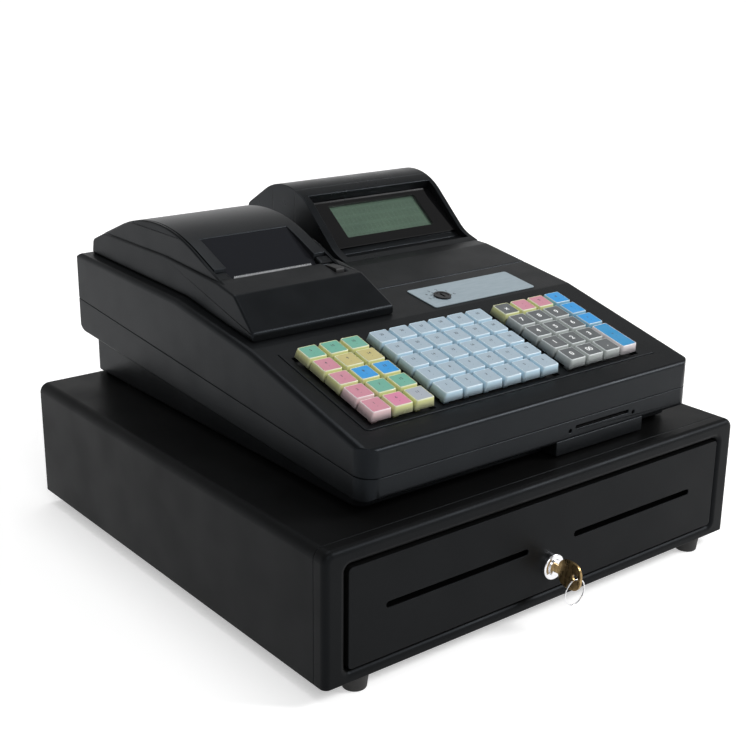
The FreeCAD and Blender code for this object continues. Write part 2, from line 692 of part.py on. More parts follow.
def common(label, *shapes):
    shared = document.addObject("Part::MultiCommon", label)
    shared.Label = label
    shared.Shapes = list(shapes)
    return shared


def cut(label, base, *tools):
    """The base without the tools."""
    taken = tools[0] if len(tools) == 1 else fuse(label + "_tools", *tools)
    left = document.addObject("Part::Cut", label)
    left.Label = label
    left.Base = base
    left.Tool = taken
    return left


def group(label, *shapes):
    """Separate solids in one node."""
    compound = document.addObject("Part::Compound", label)
    compound.Label = label
    compound.Links = list(shapes)
    return compound


nodes = []


def node(thing):
    """Register a finished sub-part."""
    nodes.append(thing)
    return thing


def frame_outline(half, low, high, corner):
    return rectangle("-(%s)" % half, half, low, high, corner)


def cabinet():
    """Steel cover, base with rear wall, front frame and feet."""
    cover = [("-half_width", "0"), ("-half_width", "cabinet_height", "cabinet_edge"),
             ("half_width", "cabinet_height", "cabinet_edge"), ("half_width", "0"),
             ("inside_half", "0"),
             ("inside_half", "cabinet_height - steel", "cabinet_edge - steel"),
             ("-inside_half", "cabinet_height - steel", "cabinet_edge - steel"),
             ("-inside_half", "0")]
    node(prism("cabinet_cover", "XZ", [cover], "front_y + frame_depth", "rear_y"))

    outer = [("-half_width", "0"), ("-half_width", "cabinet_height", "cabinet_edge"),
             ("half_width", "cabinet_height", "cabinet_edge"), ("half_width", "0")]
    inner = frame_outline("opening_half", "opening_bottom_z", "opening_top_z", "opening_corner")
    front = prism("cabinet_front_frame", "XZ", [outer, inner], "front_y", "front_y + frame_depth")
    face, hole = value("front_y"), value("opening_half")
    low, high = value("opening_bottom_z"), value("opening_top_z")

    def outline_edge(edge):
        middle = edge.CenterOfMass
        beyond = abs(middle.x) > hole or middle.z > high
        return abs(middle.y - face) < 1e-6 and beyond and middle.z > low
    node(soften(front, "frame_edge", outline_edge))

    base = [("front_y + frame_depth", "0"), ("rear_y", "0"), ("rear_y", "cabinet_height - steel"),
            ("rear_y - steel", "cabinet_height - steel"), ("rear_y - steel", "steel"),
            ("front_y + frame_depth", "steel")]
    tub = prism("base_profile", "YZ", [base], "-inside_half", "inside_half")
    cable = [circle("cable_hole_x", "cable_hole_z", "cable_hole_radius")]
    remove(tub, "XZ", cable, "rear_y - 2 * steel", "rear_y + steel")
    inside = [("-inside_half", "0"), ("-inside_half", "cabinet_height - steel", "cabinet_edge - steel"),
              ("inside_half", "cabinet_height - steel", "cabinet_edge - steel"), ("inside_half", "0")]
    node(common("cabinet_base", tub, prism("base_outline", "XZ", [inside], "front_y", "rear_y")))

    feet = []
    for side in ("-1", "1"):
        for end in ("front_y + foot_front_inset", "rear_y - foot_rear_inset"):
            foot = document.addObject("Part::Cone", "foot")
            foot.setExpression("Radius1", bound("foot_radius - foot_taper"))
            foot.setExpression("Radius2", bound("foot_radius"))
            foot.setExpression("Height", bound("foot_height"))
            across = "%s * (half_width - foot_side_inset)" % side
            foot.setExpression("Placement.Base.x", bound(across))
            foot.setExpression("Placement.Base.y", bound(end + " + shift_y"))
            feet.append(foot)
    node(group("cabinet_feet", *feet))


def mirrored(outline, side):
    """The same outline on the left (-1) or right (1) of the middle."""
    return [("%s * (%s)" % (side, corner[0]),) + tuple(corner[1:]) for corner in outline]


def slides():
    """C-shaped fixed slides on the cabinet's sides, moving members on the pan."""
    web = "pan_half_width + rail_width"
    moving = [("pan_half_width", "rail_bottom_z"), (web, "rail_bottom_z"),
              (web, "rail_bottom_z + rail_sheet"),
              ("pan_half_width + rail_sheet", "rail_bottom_z + rail_sheet"),
              ("pan_half_width + rail_sheet", "rail_top_z - rail_sheet"),
              (web, "rail_top_z - rail_sheet"), (web, "rail_top_z"),
              ("pan_half_width", "rail_top_z")]
    gap = "running_gap"
    inside = web + " + running_gap"
    mouth = web + " - rail_overlap"
    fixed = [(mouth, "rail_bottom_z - %s - rail_sheet" % gap),
             ("inside_half", "rail_bottom_z - %s - rail_sheet" % gap),
             ("inside_half", "rail_bottom_z - %s - rail_sheet + rail_flange" % gap),
             ("inside_half - rail_sheet", "rail_bottom_z - %s - rail_sheet + rail_flange" % gap),
             ("inside_half - rail_sheet", "rail_bottom_z - %s" % gap),
             (inside + " + rail_sheet", "rail_bottom_z - %s" % gap),
             (inside + " + rail_sheet", "rail_top_z + %s + rail_sheet" % gap),
             (mouth, "rail_top_z + %s + rail_sheet" % gap), (mouth, "rail_top_z + %s" % gap),
             (inside, "rail_top_z + %s" % gap), (inside, "rail_bottom_z - %s" % gap),
             (mouth, "rail_bottom_z - %s" % gap)]
    outer, inner = [], []
    for side, word in (("-1", "left"), ("1", "right")):
        outer.append(prism("fixed_rail_" + word, "XZ", [mirrored(fixed, side)],
                           "rail_front_y", "rail_rear_y"))
        inner.append(prism("moving_rail_" + word, "XZ", [mirrored(moving, side)],
                           "rail_front_y", "rail_rear_y - rail_short"))
    node(group("cabinet_rails", *outer))
    node(group("drawer_rails", *inner))


def media_slots():
    return [slot("-slot_outer_x", "-slot_inner_x", "slot_z", "slot_height"),
            slot("slot_inner_x", "slot_outer_x", "slot_z", "slot_height")]


def drawer():
    """Drawer front, steel pan with its striker, cash tray, rod and note clips."""
    outer = frame_outline("panel_half", "panel_bottom_z", "panel_top_z", "panel_corner")
    hole = circle("0", "lock_z", "lock_barrel_radius")
    front = prism("drawer_front", "XZ", [outer, hole] + media_slots(),
                  "front_y", "front_y + panel_fold")
    inner = frame_outline("panel_half - panel_sheet", "panel_bottom_z + panel_sheet",
                          "panel_top_z - panel_sheet", "panel_corner - panel_sheet")
    node(remove(front, "XZ", [inner], "front_y + panel_sheet", "front_y + panel_fold"))

    pan = block("pan_sheet_metal", "-pan_half_width", "pan_half_width", "pan_front_y",
                "pan_rear_y", "pan_bottom_z", "pan_top_z")
    inside = rectangle("-pan_half_width + pan_sheet", "pan_half_width - pan_sheet",
                       "pan_front_y + pan_sheet", "pan_rear_y - pan_sheet")
    remove(pan, "XY", [inside], "pan_bottom_z + pan_sheet", "pan_top_z")
    barrel = circle("0", "lock_z", "lock_barrel_radius")
    remove(pan, "XZ", media_slots() + [barrel], "pan_front_y", "pan_front_y + 2 * pan_sheet")
    cam_slot = rectangle("-cam_width / 2 - cam_gap", "cam_length * 0.7", "front_y + frame_depth",
                         "front_y + frame_depth + 2 * cam_gap + cam_thick")
    remove(pan, "XY", [cam_slot], "pan_bottom_z", "pan_bottom_z + pan_sheet")
    tab = block("striker_tab_plate", "-striker_tab / 2", "striker_tab / 2",
                "pan_rear_y - pan_sheet", "pin_y + striker_radius + pan_sheet",
                "pan_bottom_z", "pan_bottom_z + pan_sheet")
    add(tab, "XY", [circle("0", "pin_y", "striker_radius")], "pan_bottom_z",
        "pan_bottom_z + pan_sheet + striker_height")
    node(fuse("drawer_pan", pan, tab))

    tray = block("cash_tray", "-tray_half", "tray_half", "tray_front_y", "tray_rear_y",
                 "tray_bottom_z", "tray_top_z")
    for count, low, high, corner in (
            (5, "tray_front_y + tray_wall", "note_front_y - tray_wall", "coin_corner"),
            (4, "note_front_y", "tray_rear_y - tray_wall", "note_corner")):
        pitch = "(2 * tray_half - tray_wall) / %d" % count
        for i in range(count):
            start = "-tray_half + tray_wall + %d * %s" % (i, pitch)
            cup = rectangle(start, start + " + %s - tray_wall" % pitch, low, high, corner)
            remove(tray, "XY", [cup], "tray_bottom_z + tray_wall", "tray_top_z")
    bore = [circle("rod_y", "rod_z", "rod_radius + running_gap / 3")]
    node(remove(tray, "YZ", bore, "-tray_half - tray_wall", "tray_half + tray_wall"))
    node(prism("clip_rod", "YZ", [circle("rod_y", "rod_z", "rod_radius")],
               "-tray_half", "tray_half"))

    for i in range(4):
        middle = "(-tray_half + tray_wall / 2 + (%d + 0.5) * (2 * tray_half - tray_wall) / 4)" % i
        hub = [circle("rod_y", "rod_z", "clip_hub"),
               circle("rod_y", "rod_z", "rod_radius + pivot_gap")]
        clip = prism("bill_clip_%d" % (i + 1), "YZ", hub,
                     middle + " - clip_width / 2", middle + " + clip_width / 2")
        floor = "tray_bottom_z + tray_wall + running_gap"
        root = "rod_y - rod_radius - pivot_gap - clip_thick / 4"
        arm = [(root, "rod_z"), ("rod_y - clip_reach + clip_toe", floor + " + clip_thick", "clip_toe"),
               ("rod_y - clip_reach", floor + " + clip_thick"), ("rod_y - clip_reach", floor),
               ("rod_y - clip_reach + clip_toe", floor, "clip_toe"),
               (root, "rod_z - clip_thick * 1.05")]
        node(add(clip, "YZ", [arm], middle + " - clip_arm_width / 2",
                 middle + " + clip_arm_width / 2"))


def latch_and_solenoid():
    """Hook behind the drawer's striker and the solenoid that draws it."""
    bracket_top = "steel + bracket_sheet"
    plate = block("bracket", "latch_pivot_x - latch_tail - solenoid_length", "latch_arm",
                  "latch_pivot_y - solenoid_width / 2", "latch_pivot_y + latch_arm",
                  "steel", bracket_top)
    coil_right = "latch_pivot_x - latch_tail - plunger_reach"
    add(plate, "XY", [rectangle(coil_right + " - solenoid_length + plunger_reach", coil_right,
                                "latch_pivot_y - solenoid_width / 2",
                                "latch_pivot_y + solenoid_width / 2 - steel")],
        "steel", bracket_top + " + solenoid_height")
    add(plate, "XY", [circle("latch_pivot_x", "latch_pivot_y", "latch_pin")],
        "steel", "latch_z + latch_thick + running_gap")
    add(plate, "XY", [circle("latch_pivot_x", "latch_pivot_y", "latch_pin + 2 * latch_head")],
        "steel", "latch_z - running_gap")
    add(plate, "YZ", [circle("latch_pivot_y - latch_arm / 2", "latch_z + latch_thick / 2 + plunger_radius",
                             "plunger_radius")], coil_right + " - plunger_reach",
        "latch_pivot_x - latch_tail - running_gap")
    head = prism("pin_head", "XY", [circle("latch_pivot_x", "latch_pivot_y",
                                           "latch_pin + 2 * latch_head")],
                 "latch_z + latch_thick + running_gap",
                 "latch_z + latch_thick + running_gap + latch_head")
    node(fuse("release_solenoid", plate, head))

    left = "latch_pivot_x - latch_arm / 2"
    right = "latch_pivot_x + latch_arm / 2"
    hook_high = "pin_y - striker_radius - latch_room"
    hook_low = hook_high + " - latch_hook"
    lever = [(left, hook_low, "pan_sheet"), ("-striker_radius - pan_sheet - running_gap", hook_low),
             ("-striker_radius - pan_sheet - running_gap", hook_high), (right, hook_high),
             (right, "latch_pivot_y + latch_arm / 2", "latch_arm / 4"),
             ("latch_pivot_x - latch_tail", "latch_pivot_y + latch_arm / 2"),
             ("latch_pivot_x - latch_tail", "latch_pivot_y - latch_arm"),
             (left, "latch_pivot_y - latch_arm")]
    bore = circle("latch_pivot_x", "latch_pivot_y", "latch_pin + pivot_gap")
    node(prism("drawer_latch", "XY", [lever, bore], "latch_z", "latch_z + latch_thick"))


def lock_and_key():
    """Cam lock in the drawer front, its key and the split ring."""
    plug_bore = "lock_plug_radius + pivot_gap"
    flange_y = "front_y - lock_flange_depth"
    end_y = "front_y + frame_depth"
    lock = prism("drawer_lock", "XZ", [circle("0", "lock_z", "lock_flange_radius"),
                                       circle("0", "lock_z", plug_bore)], flange_y, "front_y")
    soften(lock, "lock_flange_edge", lambda edge: abs(edge.CenterOfMass.y - value(flange_y)) < 1e-6
           and edge.Curve.Radius > value(plug_bore) + 1e-3)
    add(lock, "XZ", [circle("0", "lock_z", "lock_barrel_radius"),
                     circle("0", "lock_z", plug_bore)], "front_y - steel", end_y)
    nut_low = "front_y + panel_sheet"
    add(lock, "XZ", [circle("0", "lock_z", "lock_nut_radius"), circle("0", "lock_z", plug_bore)],
        nut_low, nut_low + " + lock_nut_depth")
    node(lock)

    cam_y = end_y + " + cam_gap"
    plug = prism("lock_plug", "XZ", [circle("0", "lock_z", "lock_plug_radius")],
                 "lock_face_y", cam_y)
    blade_half = "key_thick / 2 + running_gap / 3"
    blade_high = "key_blade / 2 + running_gap / 3"
    keyhole = rectangle("-(%s)" % blade_half, blade_half, "lock_z - (%s)" % blade_high,
                        "lock_z + (%s)" % blade_high)
    node(remove(plug, "XZ", [keyhole], "lock_face_y", "lock_face_y + key_insert + running_gap"))
    node(prism("lock_cam", "XZ", [slot("-cam_width / 2", "cam_length", "lock_z", "cam_width")],
               cam_y, cam_y + " + cam_thick"))

    key = prism("drawer_key", "YZ", [rectangle("bow_rear_y - key_neck", "lock_face_y + key_insert",
                                               "lock_z - key_blade / 2", "lock_z + key_blade / 2"),
                                     ], "-key_thick / 2", "key_thick / 2")
    bow = rectangle("bow_front_y", "bow_rear_y", "lock_z - key_bow / 2", "lock_z + key_bow / 2",
                    "key_bow_corner")
    add(key, "YZ", [bow], "-key_thick / 2", "key_thick / 2")
    hole = circle("key_hole_y", "lock_z", "key_hole_radius")
    node(remove(key, "YZ", [hole], "-key_thick", "key_thick"))

    ring = document.addObject("Part::Torus", "key_ring")
    ring.Label = "key_ring"
    ring.setExpression("Radius1", bound("ring_radius"))
    ring.setExpression("Radius2", bound("ring_wire"))
    ring.Placement = Placement(Vector(), Rotation(Vector(1, 0, 0), 90))
    ring.setExpression("Placement.Base.y", bound("key_hole_y + shift_y"))
    low = "lock_z - key_hole_radius + ring_wire + pivot_gap - ring_radius + foot_height"
    ring.setExpression("Placement.Base.z", bound(low))
    node(ring)


def plan(inset, low, high, label):
    """Prism over the case's plan, drawn in by the inset, with its upright corners."""
    def corner(u, v, size):
        return (u, v, "%s - (%s)" % (size, inset))
    left, right = "case_left_x + (%s)" % inset, "case_right_x - (%s)" % inset
    front, rear = "case_front_y + (%s)" % inset, "case_rear_y - (%s)" % inset
    outline = [corner(left, front, "case_front_corner"), corner(right, front, "case_front_corner"),
               corner(right, rear, "case_rear_corner"), corner(left, rear, "case_rear_corner")]
    return prism(label, "XY", [outline], low, high)


def deck_profile(label, inset, low_front, low_rear):
    """Side profile from the given lower line up to the decks, drawn in by the inset."""
    deck_drop = "(%s) * sqrt(1 + deck_slope * deck_slope)" % inset
    mid_drop = "(%s) * sqrt(1 + mid_slope * mid_slope)" % inset
    rear_drop = "(%s) * (rear_slope + sqrt(1 + rear_slope * rear_slope))" % inset
    outline = [("case_front_y + (%s)" % inset, low_front),
               ("case_front_y + (%s)" % inset,
                "deck_front_z + deck_slope * (%s) - %s" % (inset, deck_drop),
                "case_front_edge - (%s)" % inset),
               ("break_y", "break_z - " + deck_drop, "bend_rounding"),
               ("knee_y", "knee_z - " + mid_drop, "bend_rounding"),
               ("case_rear_y - (%s)" % inset, "case_back_z - " + rear_drop,
                "case_rear_edge - (%s)" % inset),
               ("case_rear_y - (%s)" % inset, low_rear)]
    return prism(label, "YZ", [outline], "case_left_x", "case_right_x")


def key_blocks():
    """Left, middle and right blocks: first column and number of columns."""
    return (("left_block_x", 3), ("item_block_x", 6), ("number_block_x", 4))


def block_outline(first, columns, margin, corner=None):
    half_x, half_v = "key_base / 2 + (%s)" % margin, "key_base / 2 + (%s)" % margin
    return rectangle("%s - (%s)" % (first, half_x),
                     "%s + %d * pitch_x + %s" % (first, columns - 1, half_x),
                     "front_row_v - (%s)" % half_v, "back_row_v + %s" % half_v, corner)


def lower_case():
    """Lower half: side band under the seam, recessed base and card slot."""
    tall = "seam_rear_z + wall"
    outer_plan = plan("0", "pedestal_z", tall, "band_plan")
    outline = [("case_front_y", "ledge_front_z", "case_rim_edge"), ("case_front_y", "seam_front_z"),
               ("case_rear_y", "seam_rear_z"), ("case_rear_y", "ledge_rear_z", "case_bottom_edge")]
    profile = prism("band_profile", "YZ", [outline], "case_left_x", "case_right_x")
    band = common("band", outer_plan, profile)

    inner_plan = plan("wall", "pedestal_z", tall, "band_hollow_plan")
    hollow = [("case_front_y + wall", "ledge_front_z + wall"),
              ("case_front_y + wall", "seam_front_z + wall"),
              ("case_rear_y - wall", "seam_rear_z + wall"),
              ("case_rear_y - wall", "ledge_rear_z + wall", "case_bottom_edge - wall")]
    hollow_profile = prism("band_hollow_profile", "YZ", [hollow], "case_left_x", "case_right_x")
    cavity = common("band_hollow", inner_plan, hollow_profile)

    def base_outline(inset, corner):
        return rectangle("pedestal_left_x + (%s)" % inset, "pedestal_right_x - (%s)" % inset,
                         "pedestal_front_y + (%s)" % inset, "pedestal_rear_y - (%s)" % inset, corner)
    under = "ledge_front_z + wall / 2 + ledge_rise * (%s - case_front_y) / case_depth"
    rise = [("pedestal_front_y", "pedestal_z"), ("pedestal_rear_y", "pedestal_z"),
            ("pedestal_rear_y", under % "pedestal_rear_y"),
            ("pedestal_front_y", under % "pedestal_front_y")]
    pedestal = common("pedestal",
                      prism("pedestal_plan", "XY", [base_outline("0", "pedestal_corner")],
                            "pedestal_z", tall),
                      prism("pedestal_profile", "YZ", [rise], "case_left_x", "case_right_x"))
    inside = prism("pedestal_hollow", "XY", [base_outline("wall", "pedestal_corner - wall")],
                   "pedestal_z + wall", tall)
    floor = prism("floor_opening", "XY", [base_outline("pedestal_lip", "wall")],
                  "pedestal_z - wall", "pedestal_z + 2 * wall")
    card = block("card_block", "card_left_x", "card_left_x + card_width", "case_front_y",
                 "pedestal_front_y + wall", "pedestal_z", "ledge_front_z + wall")
    slot_right = "card_slot_left_x + card_slot_width"
    card_slot = prism("card_slot", "XZ", [
        slot("card_slot_left_x", slot_right, "card_slot_z", "card_slot_height"),
        circle("card_slot_left_x - card_screw_out", "card_slot_z - card_screw_drop",
               "card_screw_radius"),
        circle(slot_right + " + card_screw_out", "card_slot_z - card_screw_drop",
               "card_screw_radius")], "case_front_y - wall", "case_front_y + 2 * wall")
    sockets = prism("socket_holes", "XZ", socket_outlines("0"), "case_rear_y - 2 * wall",
                    "case_rear_y + wall")
    node(cut("lower_case", fuse("lower_body", band, pedestal, card), cavity, inside,
             floor, card_slot, sockets))

    reader_low = "card_slot_z - card_reader_height / 2"
    reader_left = "card_slot_left_x - card_screw_out - card_screw_radius - wall"
    reader_right = slot_right + " + card_screw_out + card_screw_radius + wall"
    reader = block("card_reader", reader_left, reader_right, "inner_face_y",
                   "inner_face_y + card_reader_depth", reader_low,
                   "card_slot_z + card_reader_height / 2")
    gate = rectangle("card_slot_left_x", slot_right, "card_slot_z - card_slot_height / 2",
                     "card_slot_z + card_slot_height / 2")
    node(remove(reader, "XZ", [gate], "inner_face_y - steel",
                "inner_face_y + card_reader_depth - steel"))

    plate = prism("base_plate", "XY", [base_outline("wall + running_gap", "pedestal_corner - wall")],
                  "pedestal_z + wall", "floor_top_z")
    corners = [circle(x, y, "standoff_radius") for x, y in board_corners()]
    node(add(plate, "XY", corners, "floor_top_z - floor_plate / 2", "floor_top_z + standoff_height"))

    pads = []
    for side in ("pedestal_left_x + pad_inset", "pedestal_right_x - pad_inset"):
        for end in ("pedestal_front_y + pad_inset", "pedestal_rear_y - pad_inset"):
            pads.append(prism("rubber_pad", "XY", [circle(side, end, "pad_radius")],
                              "cabinet_height", "pedestal_z"))
    node(group("register_feet", *pads))


def board_corners():
    near_x, far_x = "main_left_x + standoff_inset", "main_left_x + main_width - standoff_inset"
    near_y, far_y = "main_front_y + standoff_inset", "main_front_y + main_length - standoff_inset"
    return ((near_x, near_y), (far_x, near_y), (far_x, far_y), (near_x, far_y))


def socket_outlines(inset):
    """Power inlet and two data sockets in the rear wall."""
    outlines = []
    for i, (width, height) in enumerate((("inlet_width", "inlet_height"),
                                         ("socket_width", "socket_height"),
                                         ("socket_width", "socket_height"))):
        middle = "inlet_x - %d * socket_pitch" % i
        outlines.append(rectangle("%s - %s / 2 + (%s)" % (middle, width, inset),
                                  "%s + %s / 2 - (%s)" % (middle, width, inset),
                                  "inlet_z - %s / 2 + (%s)" % (height, inset),
                                  "inlet_z + %s / 2 - (%s)" % (height, inset)))
    return outlines


def side_roundings():
    """What the round side edges of the decks leave off, along each deck."""
    reach = "2 * case_side_edge"
    deck_end = "(break_y - deck_y) * sqrt(1 + deck_slope * deck_slope)"
    mid_end = "(knee_y - break_y) * sqrt(1 + mid_slope * mid_slope)"
    taken = []
    for side, edge, tail_end in (("-1", "case_left_x", "case_depth"),
                                 ("1", "case_right_x", "hood_foot_y + wall - knee_y")):
        out, into = "%s + %s * wall" % (edge, side), "%s - %s * %s" % (edge, side, reach)
        outline = [(edge, "-" + reach), (edge, "0", "case_side_edge"), (into, "0"), (into, "wall"),
                   (out, "wall"), (out, "-" + reach)]
        for frame, low, high in (("deck", "-case_depth / 4", deck_end), ("mid", "0", mid_end),
                                 ("tail", "0", tail_end)):
            taken.append(prism("side_rounding", "XZ", [outline], low, high, frame))
    return taken


def upper_case():
    """Upper half: the decks with the openings for keys, lock, printer and display."""
    shell = common("upper_solid", plan("0", "seam_front_z - wall", "hood_top_z", "upper_plan"),
                   deck_profile("upper_profile", "0", "seam_front_z", "seam_rear_z"))
    hollow = common("upper_hollow",
                    plan("wall", "seam_front_z - 2 * wall", "hood_top_z", "hollow_plan"),
                    deck_profile("hollow_profile", "wall", "seam_front_z - wall",
                                 "seam_rear_z - wall"))
    tools = [hollow] + side_roundings()
    for first, columns in key_blocks():
        tools.append(prism("key_opening", "XY", [block_outline(first, columns, "key_gap")],
                           "-3 * wall", "wall", "deck"))
    border = [("border_left_x", "border_front_v", "border_corner"),
              ("border_right_x", "border_front_v"),
              ("border_right_x", "border_front_v + groove_width"),
              ("border_left_x + groove_width", "border_front_v + groove_width",
               "border_corner - groove_width"),
              ("border_left_x + groove_width", "border_rear_v"), ("border_left_x", "border_rear_v")]
    tools.append(prism("border_line", "XY", [border], "-groove_depth", "wall", "deck"))
    barrel = circle("mode_x", "mode_v", "mode_radius + pivot_gap")
    tools.append(prism("lock_hole", "XY", [barrel], "-3 * wall", "wall", "mid"))
    for y in ("front_seam_y", "hood_seam_y"):
        slope = ("mid_slope", "break_y", "break_z") if y == "front_seam_y" else (
            "rear_slope", "knee_y", "knee_z")
        level = "%s + %s * (%s - %s)" % (slope[2], slope[0], y, slope[1])
        tools.append(block("joint_line", "deck_seam_left_x", "case_right_x + wall",
                           y + " - groove_width / 2", y + " + groove_width / 2",
                           level + " - groove_depth", level + " + wall"))
    tools.append(block("printer_opening", "bay_left_x - 2 * wall", "bay_right_x + 2 * wall",
                       "bay_front_y - wall", "roll_y + roll_radius + 4 * wall",
                       "seam_front_z", "block_ridge_z"))
    tools.append(block("hood_opening", "hood_left_x + 3 * wall", "hood_right_x - 3 * wall",
                       "lens_low_y + wall", "hood_tail_y - 6 * wall",
                       "seam_front_z", "hood_top_z"))
    node(cut("upper_case", shell, *tools))


def keyboard():
    """Key frame, rubber mat, board and all the keys."""
    low, top = "guide_low_w", "guide_top_w"
    edge = rectangle("guide_left_x", "guide_right_x", "guide_front_v", "guide_rear_v")
    guide = prism("key_frame", "XY", [edge], low, top, "deck")
    key_seats = []
    half = "stem_side / 2 + running_gap"
    for first, columns in key_blocks():
        for column in range(columns):
            holes = []
            for row in range(5):
                x = "%s + %d * pitch_x" % (first, column)
                v = "back_row_v - %d * pitch_v" % row
                key_seats.append((first, column, row, x, v))
                if first == "number_block_x" and column == 3 and row > 3:
                    continue
                if first == "number_block_x" and column == 3 and row == 3:
                    v = "back_row_v - 3.5 * pitch_v"
                holes.append(rectangle("%s - (%s)" % (x, half), "%s + %s" % (x, half),
                                       "%s - (%s)" % (v, half), "%s + %s" % (v, half)))
            remove(guide, "XY", holes, low, top)
    rims = []
    for first, columns in key_blocks():
        rims.append(block_outline(first, columns, "key_gap + steel / 4"))
    add(guide, "XY", [edge] + rims, low + " + guide_thick / 2", "-wall")
    posts = []
    for x in ("guide_left_x + guide_margin / 2", "guide_right_x - guide_margin / 2"):
        for v in ("guide_front_v + guide_margin / 2", "guide_rear_v - guide_margin / 2"):
            posts.append(circle(x, v, "post_radius"))
    node(add(guide, "XY", posts, "keyboard_top_w", "guide_low_w + guide_thick / 2"))
    inset = "guide_margin"
    node(block("key_mat", "guide_left_x + %s" % inset, "guide_right_x - %s" % inset,
               "guide_front_v + %s" % inset, "guide_rear_v - %s" % inset,
               "keyboard_top_w", "mat_top_w", "deck"))
    node(block("keyboard_board", "guide_left_x", "guide_right_x", "guide_front_v",
               "guide_rear_v", "keyboard_top_w - board_thick", "keyboard_top_w", "deck"))

    digits = {(0, 1): "7", (1, 1): "8", (2, 1): "9", (0, 2): "4", (1, 2): "5", (2, 2): "6",
              (0, 3): "1", (1, 3): "2", (2, 3): "3", (0, 4): "0"}
    groups = {"department_keys": [], "item_keys": [], "function_keys": []}
    for first, column, row, x, v in key_seats:
        right = first == "number_block_x"
        if right and column == 3 and row == 4:
            continue
        if right and column == 3 and row == 3:
            node(key("total_key", x, "back_row_v - 3.5 * pitch_v", "pitch_v"))
        elif right and (column, row) in digits:
            node(key("digit_key_" + digits[(column, row)], x, v, "0"))
        else:
            word = {"left_block_x": "department_keys", "item_block_x": "item_keys"}
            name = word.get(first, "function_keys")
            groups[name].append(key("%s_key" % name.split("_")[0], x, v, "0"))
    for name, keys in groups.items():
        node(group(name, *keys))


def key(label, x, v, longer):
    """A tapered key on a square stem. The longer value stretches it down the slope."""
    cap = document.addObject("Part::Wedge", label + "_cap")
    half_low, half_high = "key_base / 2", "key_top / 2"
    stretch = "(%s) / 2" % longer
    for name, text in (("Xmin", "-" + half_low), ("Xmax", half_low),
                       ("Zmin", "-(%s) - %s" % (half_low, stretch)),
                       ("Zmax", "%s + %s" % (half_low, stretch)),
                       ("X2min", "-" + half_high), ("X2max", half_high),
                       ("Z2min", "-(%s) - %s" % (half_high, stretch)),
                       ("Z2max", "%s + %s" % (half_high, stretch)),
                       ("Ymin", "0"), ("Ymax", "key_height + key_sink")):
        cap.setExpression(name, bound(text))
    stand_at(cap, x, v, "-key_sink", 90)
    stem = document.addObject("Part::Box", label + "_stem")
    stem.setExpression("Length", bound("stem_side"))
    stem.setExpression("Width", bound("stem_side"))
    stem.setExpression("Height", bound("-stem_low_w - key_sink / 2"))
    stand_at(stem, "%s - stem_side / 2" % x, "%s - stem_side / 2" % v, "stem_low_w", 0)
    return fuse(label, cap, stem)


def stand_at(thing, x, v, w, turn, frame="deck"):
    """Put a primitive at x, v, w in a tilted frame, turned first about its own X."""
    base_y, base_z, tilt = FRAMES[frame]
    angle = "%s + %d" % (tilt, turn)
    thing.Placement = Placement(Vector(), Rotation(Vector(1, 0, 0), value(angle)))
    thing.setExpression("Placement.Rotation.Angle", bound(angle))
    thing.setExpression("Placement.Base.x", bound(x))
    along = "%s + (%s) * cos(%s) - (%s) * sin(%s)" % (base_y, v, tilt, w, tilt)
    across = "%s + (%s) * sin(%s) + (%s) * cos(%s)" % (base_z, v, tilt, w, tilt)
    thing.setExpression("Placement.Base.y", bound(along))
    thing.setExpression("Placement.Base.z", bound(across))


def label_plate_and_mode_lock():
    plate = rectangle("plate_left_x", "plate_left_x + plate_width", "plate_front_v",
                      "plate_front_v + plate_length", "plate_corner")
    barrel = circle("mode_x", "mode_v", "mode_radius + pivot_gap")
    node(prism("mode_plate", "XY", [plate, barrel], "0", "plate_thick", "mid"))
    bore = circle("mode_x", "mode_v", "mode_plug_radius + pivot_gap")
    node(prism("mode_lock", "XY", [circle("mode_x", "mode_v", "mode_radius"), bore],
               "-mode_depth", "mode_proud", "mid"))
    plug = prism("mode_lock_plug", "XY", [circle("mode_x", "mode_v", "mode_plug_radius")],
                 "-mode_depth", "mode_proud - mode_plug_drop", "mid")
    keyway = rectangle("mode_x - keyway_width / 2", "mode_x + keyway_width / 2",
                       "mode_v - keyway_length / 2", "mode_v + keyway_length / 2")
    node(remove(plug, "XY", [keyway], "mode_proud - keyway_depth", "mode_proud"))


def hood_profile(label, inset, left, right):
    """Side profile of the display hood, standing on the decks."""
    outline = [("hood_foot_y + 2 * (%s)" % inset, "hood_level_foot"),
               ("hood_brow_y + 1.5 * (%s)" % inset, "hood_brow_z - (%s)" % inset, "hood_brow_round"),
               ("hood_top_y + 0.12 * (%s)" % inset, "hood_top_z - 1.25 * (%s)" % inset,
                "hood_top_round - (%s)" % inset),
               ("hood_tail_y - (%s)" % inset, "hood_tail_z - (%s)" % inset,
                "hood_tail_round - (%s)" % inset),
               ("hood_tail_y - (%s)" % inset, "hood_level_tail")]
    return prism(label, "YZ", [outline], left, right)


